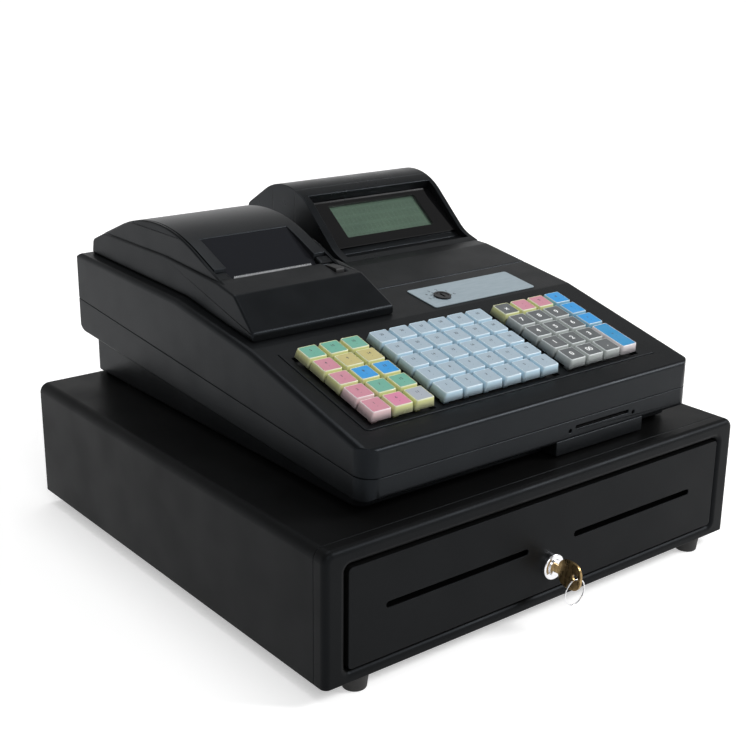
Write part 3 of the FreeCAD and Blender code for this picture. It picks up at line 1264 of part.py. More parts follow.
def display():
    """Hood with a sunk, sloping lens in front and a rear lens."""
    shell = hood_profile("hood_solid", "0", "hood_left_x", "hood_right_x")
    hollow = hood_profile("hood_hollow", "wall", "hood_left_x + wall", "hood_right_x - wall")
    recess = [("lens_start", "-lens_thick"), ("lens_length", "-lens_thick"),
              ("lens_length + recess_lean", "recess_rise"),
              ("lens_start", "recess_rise + lens_thick")]
    sunk = prism("lens_recess", "YZ", [recess], "lens_left_x", "lens_right_x", "lens")
    seat = [("lens_start", "-lens_thick - wall"), ("lens_length + wall", "-lens_thick - wall"),
            ("lens_length + recess_lean + wall", "recess_rise"),
            ("lens_start", "recess_rise + lens_thick")]
    backing = common("lens_seat", prism("seat_block", "YZ", [seat], "lens_left_x - wall",
                                        "hood_right_x - wall / 2", "lens"),
                     hood_profile("seat_limit", "0", "hood_left_x", "hood_right_x"))
    window = prism("lcd_opening", "XY", [rectangle(
        "lcd_left_x", "lcd_left_x + lcd_width", "lcd_low", "lcd_low + lcd_length")],
        "-lens_thick - 2 * wall", "recess_rise", "lens")
    rear_window = prism("rear_opening", "XY", [rectangle(
        "hood_left_x + rear_lens_side", "hood_right_x - rear_lens_side",
        "rear_lens_top", "rear_lens_top + rear_lens_length")],
        "-rear_lens_thick", "2 * wall", "rear")
    shelled = cut("hood_shell", shell, hollow)
    backed = fuse("hood_backed", shelled, backing)
    node(cut("display_hood", backed, sunk, window, rear_window))

    lens = prism("display_lens", "XY", [rectangle(
        "lens_left_x + lens_fit", "lens_right_x - lens_fit", "lens_deck_gap",
        "lens_length - lens_fit")], "-lens_thick", "0", "lens")
    node(lens)
    glass = prism("lcd_module", "XY", [rectangle(
        "lcd_left_x + lens_fit", "lcd_left_x + lcd_width - lens_fit",
        "lcd_low + lens_fit", "lcd_low + lcd_length - lens_fit")],
        "-lens_thick - wall", "-lens_thick", "lens")
    node(add(glass, "XY", [rectangle(
        "lcd_left_x - lcd_border", "lcd_left_x + lcd_width + lcd_border",
        "lcd_low - lcd_border", "lcd_low + lcd_length + lcd_border / 2")],
        "-lens_thick - wall - lcd_thick", "-lens_thick - wall"))
    node(prism("rear_display_lens", "XY", [rectangle(
        "hood_left_x + rear_lens_side + lens_fit", "hood_right_x - rear_lens_side - lens_fit",
        "rear_lens_top + lens_fit", "rear_lens_top + rear_lens_length - lens_fit")],
        "-rear_lens_thick", "0", "rear"))


def arch(label, inset, front, rear, low, left, right):
    """Prism under the printer's arched line, drawn in by the inset."""
    drop = "(%s) * sqrt(1 + arch_front_slope * arch_front_slope)" % inset
    front_z = "arch_front_z + arch_front_slope * (%s) - %s" % (front, drop)
    rear_z = "arch_rear_z + arch_rear_slope * (arch_rear_y - (%s)) - %s" % (rear, drop)
    outline = [(front, low), (front, front_z),
               ("arch_peak_y", "arch_peak_z - " + drop, "arch_round - (%s)" % inset),
               (rear, rear_z), (rear, low)]
    return prism(label, "YZ", [outline], left, right)


def printer_housing():
    """Block on the deck with arched rims, cover well, printer bay and paper trough."""
    def deck_level(y, slope, start_y, start_z):
        return "%s + %s * ((%s) - %s)" % (start_z, slope, y, start_y)
    outline = [("block_front_y", deck_level("block_front_y", "mid_slope", "break_y", "break_z")),
               ("block_front_y", "block_brow_z", "brow_round"),
               ("block_ridge_y", "block_ridge_z", "ridge_round"),
               ("shoulder_front_y", "shoulder_front_z"), ("shoulder_y", "shoulder_z"),
               ("shoulder_rear_y", "shoulder_z"),
               ("block_tail_y", "block_tail_z", "block_tail_round"),
               ("block_tail_y", deck_level("block_tail_y", "rear_slope", "knee_y", "knee_z")),
               ("knee_y", "knee_z")]
    body = prism("printer_block", "YZ", [outline], "block_left_x", "block_right_x")
    rims = [arch("left_rim", "0", "0", "arch_rear_y", "well_z - wall", "arch_left_x", "well_left_x"),
            arch("right_rim", "0", "0", "arch_rear_y", "well_z - wall", "well_right_x",
                 "arch_right_x")]
    side, low = "paper_x", "roll_z - trough_radius - trough_wall"
    half = "roll_width / 2 + trough_side"
    trough = block("trough", "%s - (%s) - trough_wall" % (side, half),
                   "%s + %s + trough_wall" % (side, half), "roll_y - trough_radius - trough_wall",
                   "roll_y + trough_radius + trough_wall", low, "well_z")
    solid = fuse("housing_solid", body, trough, *rims)

    step_end = "cover_front_y - cover_gap"
    step_level = "arch_front_z + arch_front_slope * (%s) - cover_wall" % step_end
    step = [("well_front_y - wall", "well_z - wall"), ("well_front_y - wall", "shoulder_front_z"),
            ("well_front_y", "tear_top_z"), (step_end, step_level), (step_end, "well_z - wall")]

    tall = "arch_peak_z + wall"
    lean_top = "(%s - block_brow_z)" % tall
    right = [("block_right_x", "block_brow_z"), ("block_right_x - right_lean * %s" % lean_top, tall),
             ("block_right_x + wall", tall), ("block_right_x + wall", "block_brow_z")]
    left = [("block_left_x", "block_brow_z"), ("block_left_x - wall", "block_brow_z"),
            ("block_left_x - wall", tall), ("block_left_x + left_lean * %s" % lean_top, tall)]
    reach = ("block_front_y - wall", "block_tail_y + wall")
    well = block("cover_well", "well_left_x", "well_right_x", "well_front_y", "well_rear_y",
                 "well_z", tall)
    bay = block("printer_bay", "bay_left_x", "bay_right_x", "bay_front_y", "bay_rear_y",
                "mechanism_floor_z - wall", tall)
    roll = prism("roll_space", "YZ", [circle("roll_y", "roll_z", "trough_radius")],
                 "%s - (%s)" % (side, half), "%s + %s" % (side, half))
    above = block("roll_entry", "%s - (%s)" % (side, half), "%s + %s" % (side, half),
                  "roll_y - trough_radius", "roll_y + trough_radius", "roll_z", tall)
    lever = block("latch_pocket", "latch_left_x - latch_gap",
                  "latch_left_x + latch_lever_width + latch_gap",
                  "latch_front_y - 3 * latch_gap", "latch_front_y + latch_length + latch_gap",
                  "latch_base_z - latch_sweep", tall)
    axle = prism("axle_holes", "YZ", [circle("latch_pivot_line_y", "latch_pivot_line_z",
                                             "latch_axle + pivot_gap")],
                 "latch_left_x - latch_gap - latch_axle_reach",
                 "latch_left_x + latch_lever_width + latch_gap + latch_axle_reach")
    hinge = prism("hinge_holes", "YZ", [circle("hinge_y", "hinge_z", "hinge_pin + pivot_gap")],
                  "arch_left_x", "arch_right_x")
    hollowed = cut("housing_hollowed", solid, prism("right_slant", "XZ", [right], *reach),
                   prism("left_slant", "XZ", [left], *reach), well, bay, roll, above)
    steps = [prism("left_step", "YZ", [step], "well_left_x", "notch_left_x - cover_gap"),
             prism("right_step", "YZ", [step], "notch_right_x + cover_gap", "well_right_x")]
    node(cut("printer_housing", fuse("housing_stepped", hollowed, *steps), lever, axle, hinge))


def printer_cover():
    """Arched cover with side strips, a notch and a sunk apron for the paper."""
    left, right = "well_left_x + cover_gap", "well_right_x - cover_gap"
    outer = arch("cover_outer", "0", "cover_front_y", "cover_rear_y", "cover_skirt_z", left, right)
    inner = arch("cover_inner", "cover_wall", "cover_front_y + cover_wall",
                 "cover_rear_y - cover_wall", "cover_skirt_z - wall", left + " + cover_wall",
                 right + " - cover_wall")
    notch = block("cover_notch", "notch_left_x", "notch_right_x", "cover_front_y - wall",
                  "notch_top_y", "cover_skirt_z - wall", "arch_peak_z")
    shell = cut("cover_shell", outer, inner, notch)

    apron = [("apron_low_y", "apron_low_z"), ("notch_top_y", "apron_high_z"),
             ("notch_top_y + cover_wall", "apron_high_z"),
             ("notch_top_y + cover_wall", "apron_high_z - apron_wall"),
             ("notch_top_y", "apron_high_z - apron_wall"),
             ("apron_low_y", "apron_low_z - apron_wall")]
    sheet_left, sheet_right = "notch_left_x - cover_wall", "notch_right_x + cover_wall"
    pieces = [prism("apron_sheet", "YZ", [apron], "notch_left_x", "notch_right_x")]
    level = "arch_front_z + arch_front_slope * %s - cover_wall / 2"
    brow = block("apron_brow", sheet_left, sheet_right, "notch_top_y", "notch_top_y + cover_wall",
                 "apron_high_z - apron_wall", level % "notch_top_y")
    pieces.append(brow)
    slope = "(apron_high_z - apron_low_z) / (notch_top_y - apron_low_y)"
    start = "apron_low_z - apron_wall + %s * (cover_front_y - apron_low_y)" % slope
    cheek = [("cover_front_y", start), ("cover_front_y", level % "cover_front_y"),
             ("notch_top_y + cover_wall", level % "notch_top_y"),
             ("notch_top_y + cover_wall", "apron_high_z - apron_wall"),
             ("notch_top_y", "apron_high_z - apron_wall")]
    pieces.append(prism("left_cheek", "YZ", [cheek], sheet_left, "notch_left_x"))
    pieces.append(prism("right_cheek", "YZ", [cheek], "notch_right_x", sheet_right))
    pin = [circle("hinge_y", "hinge_z", "hinge_pin")]
    pieces.append(prism("left_hinge_pin", "YZ", pin, "arch_left_x + pivot_gap",
                        left + " + cover_wall"))
    pieces.append(prism("right_hinge_pin", "YZ", pin, right + " - cover_wall",
                        "arch_right_x - pivot_gap"))
    node(fuse("printer_cover", shell, *pieces))


def tear_bar_and_latch():
    node(block("tear_bar", "tear_left_x", "tear_right_x", "well_front_y",
               "well_front_y + tear_thick", "tear_top_z - tear_height", "tear_top_z"))
    lever_right = "latch_left_x + latch_lever_width"
    body = [("latch_front_y", "latch_base_z", "latch_corner"),
            ("latch_front_y", "latch_base_z + latch_height", "latch_corner"),
            ("latch_front_y + latch_length", "latch_base_z + latch_height", "latch_corner"),
            ("latch_front_y + latch_length", "latch_base_z", "latch_corner")]
    lever = prism("cover_latch", "YZ", [body], "latch_left_x", lever_right)
    node(add(lever, "YZ", [circle("latch_pivot_line_y", "latch_pivot_line_z", "latch_axle")],
             "latch_left_x - latch_gap - latch_axle_reach + pivot_gap",
             lever_right + " + latch_gap + latch_axle_reach - pivot_gap"))


def print_mechanism():
    """Frame with print head and motor, the platen with its gear, and the paper roll."""
    left, right = "paper_x - plate_out", "paper_x + plate_out"
    floor_top = "mechanism_floor_z + steel"
    rear = "roll_y - trough_radius - trough_wall"
    frame = block("mechanism_frame", left, right, "mechanism_front_y", rear,
                  "mechanism_floor_z", floor_top)
    cheek = rectangle("mechanism_front_y", "mechanism_front_y + plate_length_y",
                      "mechanism_floor_z", "platen_z + platen_radius")
    bore = circle("platen_y", "platen_z", "platen_shaft + shaft_gap")
    for low, high in ((left, left + " + side_plate"), (right + " - side_plate", right)):
        add(frame, "YZ", [cheek, bore], low, high)
    head_y = "platen_y + platen_radius + head_gap"
    add(frame, "XY", [rectangle(left + " + side_plate / 2", right + " - side_plate / 2", head_y,
                                head_y + " + head_depth")],
        "mechanism_floor_z + steel / 2", "platen_z + platen_radius / 2")
    motor_y = head_y + " + head_depth + motor_radius + running_gap"
    motor = [circle(motor_y, floor_top + " + motor_radius - running_gap", "motor_radius")]
    add(frame, "YZ", motor, left + " + side_plate", left + " + side_plate + motor_length")
    node(frame)
    frame.Label = "printer_mechanism"

    platen = prism("platen_roller", "YZ", [circle("platen_y", "platen_z", "platen_radius")],
                   "paper_x - platen_length / 2", "paper_x + platen_length / 2")
    shaft_end = "plate_out + head_gap + gear_width"
    add(platen, "YZ", [circle("platen_y", "platen_z", "platen_shaft")],
        "paper_x - (%s)" % shaft_end, "paper_x + plate_out + head_gap")
    node(add(platen, "YZ", [circle("platen_y", "platen_z", "platen_gear")],
             "paper_x - (%s)" % shaft_end, "paper_x - plate_out - head_gap"))
    node(prism("paper_roll", "YZ", [circle("roll_y", "roll_z", "roll_radius"),
                                    circle("roll_y", "roll_z", "roll_core")],
               "paper_x - roll_width / 2", "paper_x + roll_width / 2"))


def electronics():
    """Main board on its standoffs, power supply and the sockets in the rear wall."""
    low = "floor_top_z + standoff_height"
    board = block("main_board", "main_left_x", "main_left_x + main_width", "main_front_y",
                  "main_front_y + main_length", low, low + " + board_thick")
    middle_x, middle_y = "main_left_x + main_width / 2", "main_front_y + main_length / 2"
    node(add(board, "XY", [rectangle(middle_x + " - chip_side / 2", middle_x + " + chip_side / 2",
                                     middle_y + " - chip_side / 2", middle_y + " + chip_side / 2")],
             low + " + board_thick / 2", low + " + board_thick + chip_height"))
    node(block("power_supply", "supply_left_x", "supply_left_x + supply_width", "supply_front_y",
               "supply_front_y + supply_length", "floor_top_z", "floor_top_z + supply_height",
               corner="socket_wall"))
    sockets = []
    for outer, inner in zip(socket_outlines("0"), socket_outlines("socket_wall")):
        body = prism("rear_socket", "XZ", [outer], "case_rear_y - socket_depth", "case_rear_y")
        sockets.append(remove(body, "XZ", [inner], "case_rear_y - socket_depth + socket_wall",
                              "case_rear_y"))
    node(group("rear_sockets", *sockets))


cabinet()
slides()
drawer()
latch_and_solenoid()
lock_and_key()
lower_case()
upper_case()
keyboard()
label_plate_and_mode_lock()
display()
printer_housing()
printer_cover()
tear_bar_and_latch()
print_mechanism()
electronics()

document.recompute()
for thing in document.Objects:
    if "Invalid" in thing.State or "Error" in thing.State:
        raise RuntimeError("%s did not build: %s" % (thing.Label, thing.State))
os.makedirs("parts", exist_ok=True)
for thing in nodes:
    shape = thing.Shape
    if shape.isNull() or not shape.isValid() or not shape.Solids:
        raise RuntimeError("%s has no sound solid" % thing.Label)
for thing in nodes:
    thing.Shape.exportStep("parts/%s.step" % thing.Label)
    box = thing.Shape.BoundBox
    print("%-20s %2d solids %9.0f mm3  x %7.1f %7.1f  y %7.1f %7.1f  z %6.1f %6.1f" % (
        thing.Label, len(thing.Shape.Solids), thing.Shape.Volume, box.XMin, box.XMax,
        box.YMin, box.YMax, box.ZMin, box.ZMax))
print("%d nodes" % len(nodes))
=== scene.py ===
# %% [markdown]
# # A ticket register on its cash drawer
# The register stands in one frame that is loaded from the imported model: every piece is in metres,
# +Z up, and the operator stands on the side of -Y. This file never moves a solid of that frame. It
# gives each one its surface, softens its edges, and replaces the few whose real form is finer than
# the solid: the keys, the key with its split ring, the saw-toothed tear bar and the lens.

# %% The frame
import json
import math

import bmesh
import bpy
from mathutils import Matrix, Vector


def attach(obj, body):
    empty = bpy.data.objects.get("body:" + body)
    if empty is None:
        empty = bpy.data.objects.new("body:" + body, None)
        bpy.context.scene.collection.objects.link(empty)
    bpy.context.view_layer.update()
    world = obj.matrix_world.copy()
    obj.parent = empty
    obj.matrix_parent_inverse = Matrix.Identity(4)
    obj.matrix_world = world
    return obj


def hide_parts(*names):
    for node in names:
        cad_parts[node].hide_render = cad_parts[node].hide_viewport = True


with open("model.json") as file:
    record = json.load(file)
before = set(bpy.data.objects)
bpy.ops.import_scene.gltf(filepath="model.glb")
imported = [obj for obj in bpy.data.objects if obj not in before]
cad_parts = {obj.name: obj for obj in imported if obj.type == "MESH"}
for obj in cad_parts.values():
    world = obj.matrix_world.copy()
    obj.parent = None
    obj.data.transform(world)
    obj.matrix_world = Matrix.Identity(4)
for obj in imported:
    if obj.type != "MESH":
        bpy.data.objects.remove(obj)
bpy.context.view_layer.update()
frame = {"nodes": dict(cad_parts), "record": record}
NODES = frame["nodes"]
MM = 0.001


def show(thing):
    bpy.context.scene.collection.objects.link(thing)


body_of = {node: body for body, nodes in frame["record"]["behaviour"]["bodies"].items()
           for node in nodes}

# %% [markdown]
# ## Camera
# The photograph was taken from the register's front left, a little above it, with a short
# telephoto lens. These values put the camera at the same place, so that edges in the render fall
# where they fall in the photograph. A camera looks along its own -Z, so its matrix is made of its
# right, up and backward directions.

# %% Camera at the photographer's place
AZIMUTH = math.radians(-38.55)
ELEVATION = math.radians(18.29)
ROLL = math.radians(0.64)
CAMERA_PLACE = Vector((-643.4, -797.5, 478.9)) * MM
LENS = 63.41

backward = Vector((math.sin(AZIMUTH) * math.cos(ELEVATION),
                   -math.cos(AZIMUTH) * math.cos(ELEVATION), math.sin(ELEVATION)))
level = Vector((math.cos(AZIMUTH), math.sin(AZIMUTH), 0))
upward = backward.cross(level)
right = level * math.cos(ROLL) + upward * math.sin(ROLL)
upward = backward.cross(right)
camera = bpy.data.objects.new("camera", bpy.data.cameras.new("camera"))
camera.data.lens = LENS
camera.data.clip_start = 0.01
camera.matrix_world = Matrix.Translation(CAMERA_PLACE) @ Matrix(
    (right, upward, backward)).transposed().to_4x4()
show(camera)
bpy.context.scene.camera = camera
bpy.context.scene.view_settings.view_transform = "Standard"

# %% [markdown]
# ## Joining nodes
# The floor, the finishes and the repeats are all built of nodes. One small class adds a node, sets
# its inputs or joins them to other nodes, and does the sums that come back again and again.

# %% Node helper
WHITE = (1, 1, 1, 1)


class Wiring:
    """Adds nodes to a tree and joins them."""

    def __init__(self, tree):
        self.nodes, self.links = tree.nodes, tree.links

    def put(self, socket, value):
        """Give a socket a constant or another node's output."""
        if isinstance(value, bpy.types.NodeSocket):
            self.links.new(value, socket)
        else:
            socket.default_value = value

    def node(self, kind, settings=None, **inputs):
        node = self.nodes.new(kind)
        for name, value in (settings or {}).items():
            setattr(node, name, value)
        for title, value in inputs.items():
            self.put(node.inputs[title.replace("_", " ")], value)
        return node

    def math(self, action, *values):
        node = self.node("ShaderNodeMath", {"operation": action})
        for socket, value in zip(node.inputs, values):
            self.put(socket, value)
        return node.outputs["Value"]

    def ramp(self, value, limits, ends):
        """Stretch a value from its limits to a range."""
        return self.node("ShaderNodeMapRange", Value=value, From_Min=limits[0], From_Max=limits[1],
                         To_Min=ends[0], To_Max=ends[1]).outputs["Result"]

    def seen_directly(self):
        """One for rays from the camera, in gloss and through clear things, none for the others."""
        ray = self.node("ShaderNodeLightPath")
        seen = ray.outputs["Is Camera Ray"]
        for kind in ("Is Glossy Ray", "Is Transmission Ray"):
            seen = self.math("MAXIMUM", seen, ray.outputs[kind])
        return seen

# %% [markdown]
# ## Floor and light
# Product photographs of black things are taken on a white table in a darker room: the flanks mirror
# the table, the decks mirror the room, and soft lamps draw one bright line along each round edge.
# The lamps stand high, in front and to the right. A white wall stands behind, and the room is dim
# above it. The floor is pale. Seen directly or in gloss it is lifted to white, more so far away,
# where the lamps fade, but it keeps the object's shadow.

# %% Stage
FLOOR_SIDE = 30
FLOOR_COLOUR = (0.9, 0.9, 0.9, 1)
FLOOR_LIFT = (0.42, 0.75)
LIFT_REACH = (0.9, 2.6)
LAMP_AIM = Vector((0, 0, 0.1))
LAMPS = (
    # name, place, side, watts
    ("top_lamp", (0.1, 0.5, 2.3), 1.6, 19),
    ("front_lamp", (-1.0, -2.2, 1.8), 1.3, 20),
    ("right_lamp", (1.9, -1.6, 1.7), 0.9, 58),
)
WORLD_LEVEL = 0.3
WALL_FADE = (0.18, 0.55)


def lamp(name, place, side, watts):
    data = bpy.data.lights.new(name, "AREA")
    data.size = side
    data.energy = watts
    thing = bpy.data.objects.new(name, data)
    thing.location = place
    thing.rotation_euler = (LAMP_AIM - thing.location).to_track_quat("-Z", "Y").to_euler()
    show(thing)


for settings in LAMPS:
    lamp(*settings)

world = bpy.data.worlds.new("studio")
bpy.context.scene.world = world
world.use_nodes = True
room = Wiring(world.node_tree)
background = room.nodes["Background"]
background.inputs["Color"].default_value = WHITE
towards = room.node("ShaderNodeTexCoord").outputs["Generated"]
height = room.node("ShaderNodeSeparateXYZ", Vector=towards).outputs["Z"]
wall = room.ramp(height, WALL_FADE, (1, WORLD_LEVEL))
shine = room.node("ShaderNodeMix", A=WORLD_LEVEL, B=wall, Factor=room.seen_directly())
room.put(background.inputs["Strength"], shine.outputs["Result"])

half = FLOOR_SIDE / 2
floor_mesh = bpy.data.meshes.new("floor")
floor_mesh.from_pydata([(-half, -half, 0), (half, -half, 0), (half, half, 0), (-half, half, 0)], [],
                       [(0, 1, 2, 3)])
floor = bpy.data.objects.new("floor", floor_mesh)
show(floor)
floor_paint = bpy.data.materials.new("floor_paint")
floor_paint.use_nodes = True
paint = Wiring(floor_paint.node_tree)
sockets = paint.nodes["Principled BSDF"].inputs
sockets["Base Color"].default_value = FLOOR_COLOUR
sockets["Roughness"].default_value = 0.9
sockets["Emission Color"].default_value = WHITE
place = paint.node("ShaderNodeTexCoord").outputs["Object"]
away = paint.node("ShaderNodeVectorMath", {"operation": "LENGTH"}, Vector=place).outputs["Value"]
lift = paint.math("MULTIPLY", paint.seen_directly(), paint.ramp(away, LIFT_REACH, FLOOR_LIFT))
paint.put(sockets["Emission Strength"], lift)
floor_mesh.materials.append(floor_paint)

# %% [markdown]
# ## How a finish is built
# Every finish starts as a Principled shader. Its constants stand on the shader's own sockets. What
# varies over the surface is added in layers that read Object coordinates, so that the grain stays
# at its real size on every piece: a mottled colour, a fine bump, and roughness that wanders a
# little.

# %% Helpers for finishes
def srgb(red, green, blue):
    """A colour as it is read off a screen, 0 to 255, turned into light."""
    def light(share):
        share /= 255
        return share / 12.92 if share <= 0.04045 else ((share + 0.055) / 1.055) ** 2.4
    return (light(red), light(green), light(blue), 1)


# The mix node names its sockets alike for numbers and colours, so the colours go by their places.
MIX_COLOURS = (6, 7)
MIX_RESULT = 2


class Finish(Wiring):
    """One material: a Principled shader and the layers on it."""

    def __init__(self, name, colour=(0.5, 0.5, 0.5, 1), roughness=0.5, **sockets):
        self.material = bpy.data.materials.new(name)
        self.material.use_nodes = True
        super().__init__(self.material.node_tree)
        self.shader = self.nodes["Principled BSDF"]
        for socket, value in dict(Base_Color=colour, Roughness=roughness, **sockets).items():
            self.shader.inputs[socket.replace("_", " ")].default_value = value
        self.place = self.node("ShaderNodeTexCoord").outputs["Object"]
        self.normal = None

    def noise(self, size, detail=3, stretch=None):
        """Noise whose features are about so large, in metres."""
        place = self.place
        if stretch:
            place = self.node("ShaderNodeMapping", Vector=place, Scale=stretch).outputs["Vector"]
        return self.node("ShaderNodeTexNoise", Vector=place, Scale=1 / size,
                         Detail=detail).outputs["Fac"]

    def spread(self, value, low, high, start=0.3, stop=0.7):
        """Stretch a noise value to the range from low to high."""
        return self.ramp(value, (start, stop), (low, high))

    def blend(self, share, first, second):
        """Mix two colours, each a constant or a socket."""
        mix = self.node("ShaderNodeMix", {"data_type": "RGBA"}, Factor=share)
        for index, colour in zip(MIX_COLOURS, (first, second)):
            self.put(mix.inputs[index], colour)
        return mix.outputs[MIX_RESULT]

    def feed(self, socket, value):
        self.put(self.shader.inputs[socket], value)

    def clouds(self, first, second, size, stretch=None):
        """Two colours that drift into each other."""
        return self.blend(self.spread(self.noise(size, 3, stretch), 0, 1), first, second)

    def mottle(self, first, second, size, stretch=None):
        self.feed("Base Color", self.clouds(first, second, size, stretch))

    def wander(self, low, high, size, stretch=None):
        """Roughness that wanders between two values."""
        self.feed("Roughness", self.spread(self.noise(size, 2, stretch), low, high))

    def bump(self, height, depth):
        """Raise the surface by a height value, so many metres at most."""
        node = self.node("ShaderNodeBump", Distance=depth, Strength=1.0, Height=height)
        if self.normal is not None:
            self.put(node.inputs["Normal"], self.normal)
        self.normal = node.outputs["Normal"]
        self.feed("Normal", self.normal)

    def grain(self, size, depth, stretch=None):
        self.bump(self.noise(size, 2, stretch), depth)

    def axis(self, letter):
        """One coordinate of the place on the piece."""
        return self.node("ShaderNodeSeparateXYZ", Vector=self.place).outputs[letter]

# %% [markdown]
# ## Black moulded plastic
# The register's case is moulded in black ABS with a spark-eroded skin: a grain of about a third of
# a millimetre, just deep enough to break up reflections. Handling polishes it a little unevenly, so
# the roughness wanders. The colour is a very dark grey with a trace of blue.

# %% Black moulded plastic
SHEEN = srgb(226, 240, 255)
CASE_DARK = srgb(12, 13, 14)
CASE_LIGHT = srgb(16, 17, 18)
GRAIN_SIZE = 0.45 * MM
GRAIN_DEPTH = 0.035 * MM

case_plastic = Finish("case_plastic", roughness=0.34, Specular_IOR_Level=0.13, Specular_Tint=SHEEN)
case_plastic.mottle(CASE_DARK, CASE_LIGHT, 30 * MM)
case_plastic.wander(0.3, 0.38, 25 * MM)
case_plastic.grain(GRAIN_SIZE, GRAIN_DEPTH)

tray_plastic = Finish("tray_moulding", roughness=0.5, Specular_IOR_Level=0.3)
tray_plastic.mottle(srgb(22, 22, 23), srgb(28, 28, 29), 40 * MM)
tray_plastic.grain(0.8 * MM, 0.02 * MM)

dull_plastic = Finish("dull_plastic", roughness=0.6)
dull_plastic.mottle(srgb(14, 14, 15), srgb(20, 20, 21), 4 * MM)
dull_plastic.grain(0.5 * MM, 0.02 * MM)

# %% [markdown]
# ## Powder coat
# The cabinet is steel sheet with a baked powder coat. Powder melts into a skin with the fine,
# rounded unevenness that painters call orange peel, here with a sprinkle of finer texture on top.

# %% Powder coat
POWDER_DARK = srgb(11, 11, 11)
POWDER_LIGHT = srgb(15, 15, 15)

powder_coat = Finish("powder_coat", roughness=0.36, Specular_IOR_Level=0.07, Specular_Tint=SHEEN)
powder_coat.mottle(POWDER_DARK, POWDER_LIGHT, 60 * MM)
powder_coat.wander(0.36, 0.46, 40 * MM)
powder_coat.grain(1.6 * MM, 0.03 * MM)
powder_coat.grain(0.5 * MM, 0.022 * MM)

# %% [markdown]
# ## Metals
# Zinc-plated sheet shows faint cloudy spangles and the direction in which it was rolled. Chrome is
# smooth, with a few hair scratches. The mode lock is blackened. The key is a bronze-coloured
# stamping whose faces are ground.

# %% Metals
zinc = Finish("zinc_plate", roughness=0.35, Metallic=1.0)
zinc.mottle(srgb(168, 170, 172), srgb(196, 198, 200), 9 * MM)
zinc.wander(0.28, 0.45, 6 * MM, stretch=(1, 0.15, 1))
zinc.grain(1.2 * MM, 0.004 * MM, stretch=(1, 0.1, 1))

chrome = Finish("bright_chrome", srgb(222, 222, 224), roughness=0.12, Metallic=1.0)
chrome.wander(0.08, 0.2, 2.5 * MM)
chrome.grain(0.6 * MM, 0.0015 * MM, stretch=(1, 1, 0.1))

bronze = Finish("key_bronze_faces", roughness=0.3, Metallic=1.0)
bronze.mottle(srgb(122, 100, 66), srgb(164, 140, 98), 3 * MM)
bronze.wander(0.22, 0.4, 1.5 * MM, stretch=(1, 1, 0.2))
bronze.grain(0.4 * MM, 0.003 * MM, stretch=(1, 1, 0.15))

black_metal = Finish("black_metal", roughness=0.3, Metallic=0.6)
black_metal.mottle(srgb(30, 30, 32), srgb(46, 46, 48), 2 * MM)
black_metal.grain(0.5 * MM, 0.003 * MM)

bare_steel = Finish("bare_steel", roughness=0.35, Metallic=0.3)
bare_steel.mottle(srgb(160, 162, 165), srgb(184, 186, 188), 3 * MM)

grey_metal = Finish("dull_metal", roughness=0.4, Metallic=0.9)
grey_metal.mottle(srgb(128, 130, 133), srgb(150, 152, 156), 12 * MM)
grey_metal.grain(1.0 * MM, 0.004 * MM)

# %% [markdown]
# ## Rubber, boards, paper and mat
# These lie inside or under the register. They are seen when the lid or the drawer is open, and from
# below.

# %% Inner materials
rubber = Finish("foot_rubber", roughness=0.75)
rubber.mottle(srgb(22, 22, 22), srgb(32, 31, 30), 5 * MM)
rubber.grain(0.6 * MM, 0.03 * MM)

silicone = Finish("silicone", roughness=0.6)
silicone.mottle(srgb(98, 101, 104), srgb(112, 115, 118), 6 * MM)
silicone.grain(0.5 * MM, 0.01 * MM)

board_green = Finish("board_green", roughness=0.3, Coat_Weight=0.3)
board_green.mottle(srgb(18, 84, 44), srgb(30, 104, 58), 3 * MM, stretch=(1, 0.25, 1))
board_green.grain(0.7 * MM, 0.01 * MM)

paper = Finish("till_paper", roughness=0.8, Sheen_Weight=0.1)
paper.mottle(srgb(232, 232, 228), srgb(244, 244, 240), 2 * MM)
paper.grain(0.25 * MM, 0.008 * MM)

# %% [markdown]
# ## The label plate
# The plate round the mode lock is silver-grey foil, brushed along its length. Its printed name is
# left off; what stays are the plain marks round the lock, made further down.

# %% Label plate foil
foil = Finish("foil", roughness=0.45, Metallic=0.15)
foil.mottle(srgb(140, 154, 162), srgb(148, 162, 170), 2.5 * MM, stretch=(0.2, 1, 1))
foil.grain(0.3 * MM, 0.002 * MM, stretch=(0.1, 1, 1))

# %% [markdown]
# ## Lens and display
# The hood's front is one smoked lens, almost black, with a clear window over the display. The
# display is a grey-green liquid crystal glass. Its segments are off, and only their faint cells
# can be seen.

# %% Lens and display
lens_black = Finish("lens_black", roughness=0.07, Specular_IOR_Level=0.3)
lens_black.mottle(srgb(8, 8, 9), srgb(12, 12, 13), 30 * MM)
lens_black.wander(0.05, 0.1, 20 * MM)

window_clear = Finish("window_clear", srgb(70, 80, 74), roughness=0.05, Alpha=0.1)
window_clear.wander(0.04, 0.08, 15 * MM)

